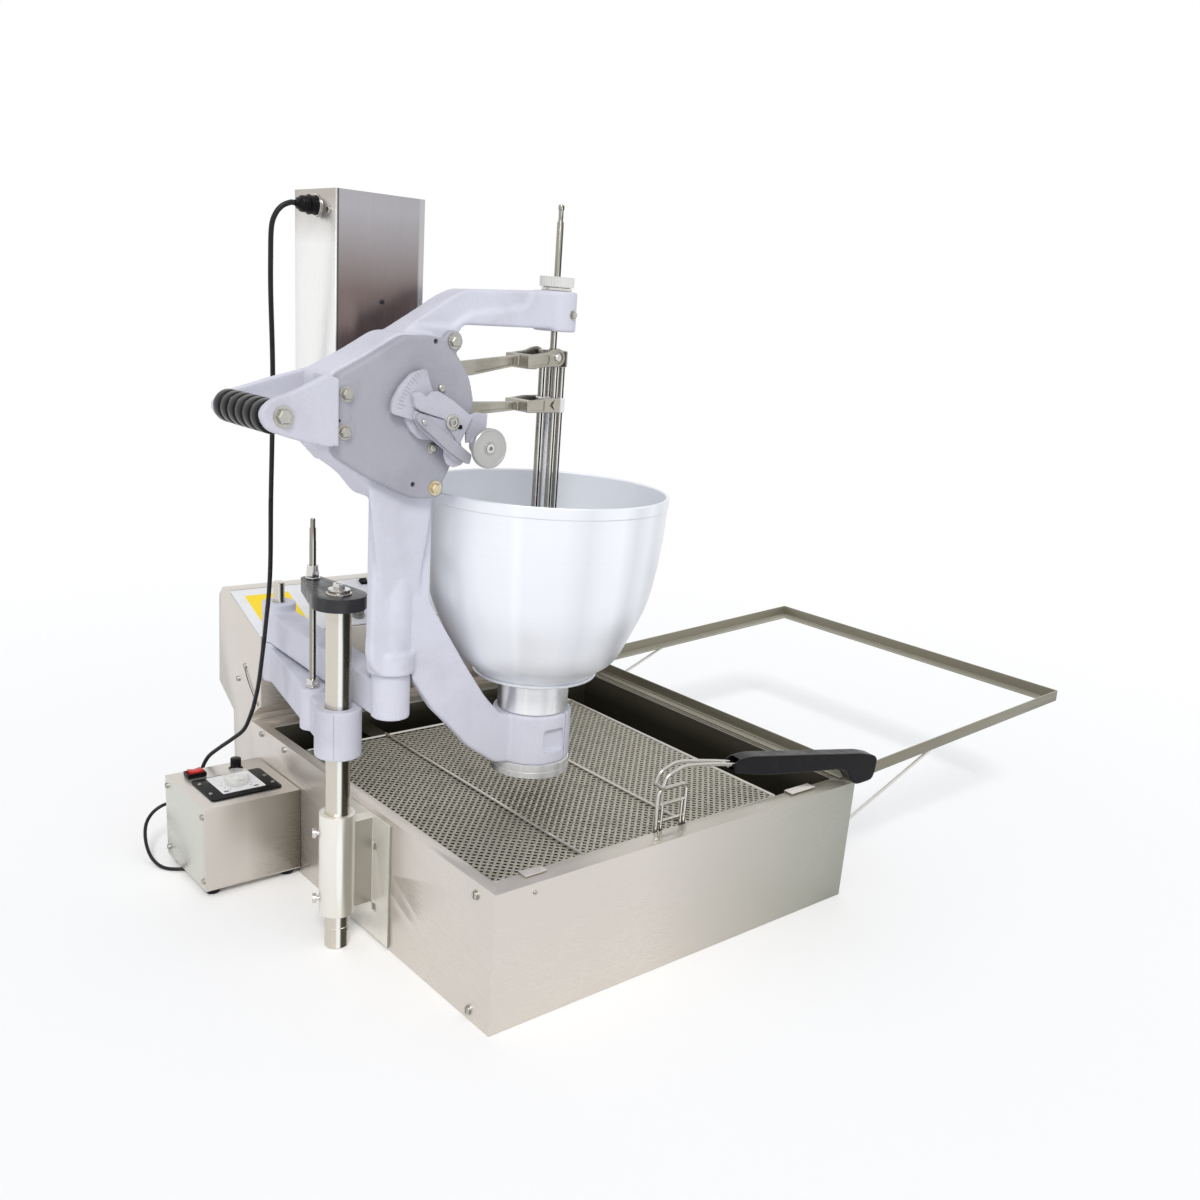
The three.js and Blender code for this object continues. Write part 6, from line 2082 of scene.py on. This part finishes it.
def turn_stroke_knob():
    """The turned disc with its stub behind and its screw in front."""
    centre = middle("stroke_knob")
    thick = 7
    disc = lathe([(0, 0), (22, 0), (22.8, 0.8), (22.8, 6.0), (21.8, 7.0), (20.4, 7.0), (19.8, 6.6),
                  (7.4, 6.0), (7.2, 6.8), (5.8, 6.8), (5.6, 5.4), (2.2, 5.4), (2.0, 4.2), (0, 4.2)], 96)
    disc.join(lathe([(0, -6.8), (6, -6.8), (6, 0), (0, 0)], 40))
    place = facing(FORWARD, (centre.x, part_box("stroke_knob")[0].y + thick * MM, centre.z))
    ring = lathe([(2.6, 5.8), (5.4, 5.8), (5.4, 7.4), (4.8, 7.8), (2.6, 7.8)], 40)
    finished(from_shape("stroke_knob_screw", ring.moved(place)), bright_steel(), "stroke_knob",
             "bright_steel")
    finished(from_shape("stroke_knob_disc", disc.moved(place)), turned_disc(centre), "stroke_knob",
             "bright_steel", "stroke_knob", angle=20)


# ---------------------------------------------------------------- control box

def make_control_box():
    fold_box()
    make_speed_panel()
    make_speed_dial()
    make_panel_knob()
    frame_piece = soften(from_node("rocker_frame", "rocker_base"), 1.3 * MM, 3)
    finished(frame_piece, black_plastic(), "root", "black_plastic", "rocker_base")
    key = soften(from_node("rocker_key", "rocker_switch"), 0.6 * MM, 2)
    finished(key, red_plastic(), "box_rocker", "red_plastic", "rocker_switch")
    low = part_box("control_box_casing")[0]
    screws = [(Vector((low.x, low.y + y * MM, z * MM)), LEFTWARD) for y,
              z in ((7, 24), (7, 124), (138, 24), (138, 124))]
    fasteners("box_side_screws", "pan", screws, "root")


def fold_box():
    """The control box's casing with its seams and vent slits, its floor and its four feet."""
    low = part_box("control_box_casing")[0]
    casing = from_node("control_box_shell", "control_box_casing")
    grooves = [block((-1, 4, 5), (0.9, 4.9, 141)), block((-1, 4, 140), (0.9, 160, 140.9))]
    for at in (46, 78, 104):
        grooves.append(block((144.2, at, 60), (146, at + 1.2, 78)))
        grooves.append(block((144.2, at, 104), (146, at + 8, 105.2)))
    cut_away(casing, *(groove.moved(over(low)) for groove in grooves))
    soften(casing, 1.6 * MM, 3)
    finished(casing, box_steel(), "root", "casing_steel", "control_box_casing")
    base = soften(from_node("control_box_floor", "control_box_base"), 0.6 * MM)
    finished(base, brushed_steel(), "root", "casing_steel", "control_box_base")
    for number in range(1, 5):
        foot = lathe([(0, 0), (8.6, 0), (9.6, 0.6), (10.6, 4), (10.9, 8.6), (10.5, 9.3), (0, 9.3)], 40)
        foot.moved(over(middle(f"control_foot_{number}")))
        finished(from_shape(f"rubber_foot_{number}", foot), rubber(), "root", "rubber",
                 f"control_foot_{number}")


def make_speed_panel():
    """The black plate with its white label, its ticks about the dial and its four screws."""
    low, high = (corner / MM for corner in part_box("speed_panel"))
    x0, y0, x1, y1, top = low.x, low.y, high.x, high.y, high.z
    outline = rounded([(x0, y0), (x1, y0), (x1, y1), (x0, y1)], 7, 6)
    plate = from_shape("speed_panel_plate", prism(outline, low.z, top))
    soften(plate, 0.8 * MM)
    finished(plate, black_plastic(), "root", "black_plastic", "speed_panel")
    label = rounded([(x0 + 22, y0 + 14), (x1 - 20, y0 + 14), (x1 - 20, y1 - 3), (x0 + 22, y1 - 3)], 2, 3)
    label_top = top + 0.28
    sheet = from_shape("speed_scale", prism(label, top + 0.02, label_top))
    finished(sheet, panel_white(), "root", "label_panel")
    dial = middle("speed_dial")
    about_dial = Matrix.Translation((dial.x, dial.y, label_top * MM))
    marks = Shape()
    for i in range(11):
        tick = block((20.2, -0.45, 0), (24.6 if i % 5 == 0 else 22.6, 0.45, 0.12))
        marks.join(tick.moved(about_dial @ z_turn(225 - 27 * i)))
    for x, y in ((-27, -22), (18, -22)):
        marks.join(block((x, y, 0), (x + 7, y + 3.4, 0.12)).moved(about_dial))
    finished(from_shape("speed_scale_marks", marks), printed_black(), "root", "black_plastic")
    screws = [(Vector((x, y, top)) * MM, (0, 0, 1)) for x, y in
              ((x0 + 6.5, y0 + 22), (x1 - 7, y0 + 48), (x0 + 6.5, y1 - 20), (x1 - 7, y0 + 20))]
    fasteners("speed_panel_screws", "small_pan", screws, "root")


def make_speed_dial():
    """The clear cup of the speed dial and the black pointer inside it."""
    dial = middle("speed_dial")
    foot, head = (corner.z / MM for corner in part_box("speed_dial"))
    cup = [(0, foot), (15, foot), (16.6, foot + 1), (17.2, foot + 6), (18.2, head - 0.6), (17.8, head),
           (17.0, head - 0.2), (16.0, foot + 6), (15.2, foot + 3), (5.6, foot + 2.6), (5.2, head - 5),
           (4.4, head - 4.4), (0, head - 4.4)]
    finished(from_shape("speed_dial_cup", lathe(cup, 72).moved(over(dial))), clear_plastic(), "dial",
             "clear_plastic", "speed_dial", angle=40)
    pointer = block((2, -0.6, foot + 3.1), (14, 0.6, foot + 3.6)).moved(over(dial))
    finished(from_shape("speed_dial_pointer", pointer), printed_black(), "dial", "clear_plastic")


def make_panel_knob():
    """The fluted knob on its skirt."""
    place = over(middle("panel_knob"))
    foot, head = (corner.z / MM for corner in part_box("panel_knob"))
    flutes = []
    for i in range(72):
        angle = 2 * math.pi * i / 72
        r = 7.6 + 0.35 * math.cos(12 * angle)
        flutes.append((r * math.cos(angle), r * math.sin(angle)))
    knob = from_shape("panel_knob_cap", prism(flutes, foot + 2, head).moved(place))
    soften(knob, 0.8 * MM, 2, 60)
    finished(knob, black_plastic(), "selector", "black_plastic", "panel_knob", angle=40)
    skirt = lathe([(0, foot), (10.6, foot), (10.9, foot + 0.6), (9, foot + 2.2), (0, foot + 2.2)], 48)
    finished(from_shape("panel_knob_skirt", skirt.moved(place)), black_plastic(), "selector", "black_plastic")


# ---------------------------------------------------------------- operators and panel

class StageStep(bpy.types.Operator):
    """Set up the camera, the light and the floor."""

    bl_idname = "donut_maker.stage"
    bl_label = "Camera, light and floor"

    def execute(self, context):
        make_stage()
        return {"FINISHED"}


class CordStep(bpy.types.Operator):
    """Lay the motor's cord and the coiled mains lead with its plug."""

    bl_idname = "donut_maker.cords"
    bl_label = "Cords and plug"

    def execute(self, context):
        make_cords()
        return {"FINISHED"}


class FryerStep(bpy.types.Operator):
    """Fold the fryer's casing, its tank and its heating tube."""

    bl_idname = "donut_maker.fryer"
    bl_label = "Fryer"

    def execute(self, context):
        make_fryer()
        return {"FINISHED"}


class ScreenStep(bpy.types.Operator):
    """Weave the fry screen and make its frame, straps and arch."""

    bl_idname = "donut_maker.screen"
    bl_label = "Fry screen"

    def execute(self, context):
        make_screen()
        return {"FINISHED"}


class ScreenHandleStep(bpy.types.Operator):
    """Bend the screen's handle and mould its grip."""

    bl_idname = "donut_maker.screen_handle"
    bl_label = "Screen handle"

    def execute(self, context):
        make_screen_handle()
        return {"FINISHED"}


class HeadStep(bpy.types.Operator):
    """Fold the control head with its panel, thermostat and switch."""

    bl_idname = "donut_maker.head"
    bl_label = "Control head"

    def execute(self, context):
        make_head()
        return {"FINISHED"}


class DrainStep(bpy.types.Operator):
    """Fold the drain frame and bend its bail."""

    bl_idname = "donut_maker.drain"
    bl_label = "Drain frame"

    def execute(self, context):
        make_drain()
        return {"FINISHED"}


class ColumnStep(bpy.types.Operator):
    """Turn the column and make its clamp."""

    bl_idname = "donut_maker.column"
    bl_label = "Column"

    def execute(self, context):
        make_column()
        return {"FINISHED"}


class LinkStep(bpy.types.Operator):
    """Cast the swinging links, with their pins, plate and height rod."""

    bl_idname = "donut_maker.links"
    bl_label = "Swinging links"

    def execute(self, context):
        make_links()
        return {"FINISHED"}


class CastingStep(bpy.types.Operator):
    """Cast the depositor's frame, gear cover and handle bracket."""

    bl_idname = "donut_maker.castings"
    bl_label = "Depositor castings"

    def execute(self, context):
        make_castings()
        return {"FINISHED"}


class GripStep(bpy.types.Operator):
    """Mould the ribbed hand grip."""

    bl_idname = "donut_maker.grip"
    bl_label = "Hand grip"

    def execute(self, context):
        make_grip()
        return {"FINISHED"}


class MotorStep(bpy.types.Operator):
    """Fold the motor's housing and fit its connector."""

    bl_idname = "donut_maker.motor"
    bl_label = "Motor"

    def execute(self, context):
        make_motor()
        return {"FINISHED"}


class HopperStep(bpy.types.Operator):
    """Spin the hopper and turn the batter cylinder."""

    bl_idname = "donut_maker.hopper"
    bl_label = "Hopper and cylinder"

    def execute(self, context):
        make_hopper()
        return {"FINISHED"}


class PlungerStep(bpy.types.Operator):
    """Turn the piston, the cutter sleeve and the knurled guide nut."""

    bl_idname = "donut_maker.plunger"
    bl_label = "Piston and cutter"

    def execute(self, context):
        make_plunger()
        return {"FINISHED"}


class LeverStep(bpy.types.Operator):
    """Forge the two fork levers and the crank behind the cover."""

    bl_idname = "donut_maker.levers"
    bl_label = "Levers"

    def execute(self, context):
        make_levers()
        return {"FINISHED"}


class AdjusterStep(bpy.types.Operator):
    """Make the portion adjuster with its scale, lever and knob."""

    bl_idname = "donut_maker.adjuster"
    bl_label = "Portion adjuster"

    def execute(self, context):
        make_stroke_adjuster()
        return {"FINISHED"}


class ControlBoxStep(bpy.types.Operator):
    """Fold the control box and fit its panel, dial, knob and rocker."""

    bl_idname = "donut_maker.control_box"
    bl_label = "Control box"

    def execute(self, context):
        make_control_box()
        return {"FINISHED"}


STEPS = (StageStep, CordStep, FryerStep, ScreenStep, ScreenHandleStep, HeadStep, DrainStep, ColumnStep,
         LinkStep, CastingStep, GripStep, MotorStep, HopperStep, PlungerStep, LeverStep, AdjusterStep,
         ControlBoxStep)


class DONUTMAKER_PT_steps(bpy.types.Panel):
    """Lists the building steps and the sizes that can be changed."""

    bl_idname = "DONUTMAKER_PT_steps"
    bl_label = "Donut maker"
    bl_space_type = "VIEW_3D"
    bl_region_type = "UI"
    bl_category = "Donut maker"

    def draw(self, context):
        maker = context.scene.donut_maker
        for group in ("casting", "sheet", "screen", "hopper", "cord", "stage"):
            part = getattr(maker, group)
            column = self.layout.box().column()
            column.label(text=group.capitalize())
            for name in part.__annotations__:
                column.prop(part, name)
        for step in STEPS:
            self.layout.operator(step.bl_idname)


CLASSES = (CastingSettings, SheetSettings, ScreenSettings, HopperSettings, CordSettings, StageSettings,
           MakerSettings, *STEPS, DONUTMAKER_PT_steps)


def register():
    for made in CLASSES:
        bpy.utils.register_class(made)
    bpy.types.Scene.donut_maker = PointerProperty(type=MakerSettings)


def unregister():
    del bpy.types.Scene.donut_maker
    for made in reversed(CLASSES):
        bpy.utils.unregister_class(made)


def main():
    register()
    for name in ("Cube", "Light", "Camera"):
        if name in bpy.data.objects:
            bpy.data.objects.remove(bpy.data.objects[name])
    for step in STEPS:
        family, name = step.bl_idname.split(".")
        getattr(getattr(bpy.ops, family), name)()


if __name__ == "__main__":
    main()
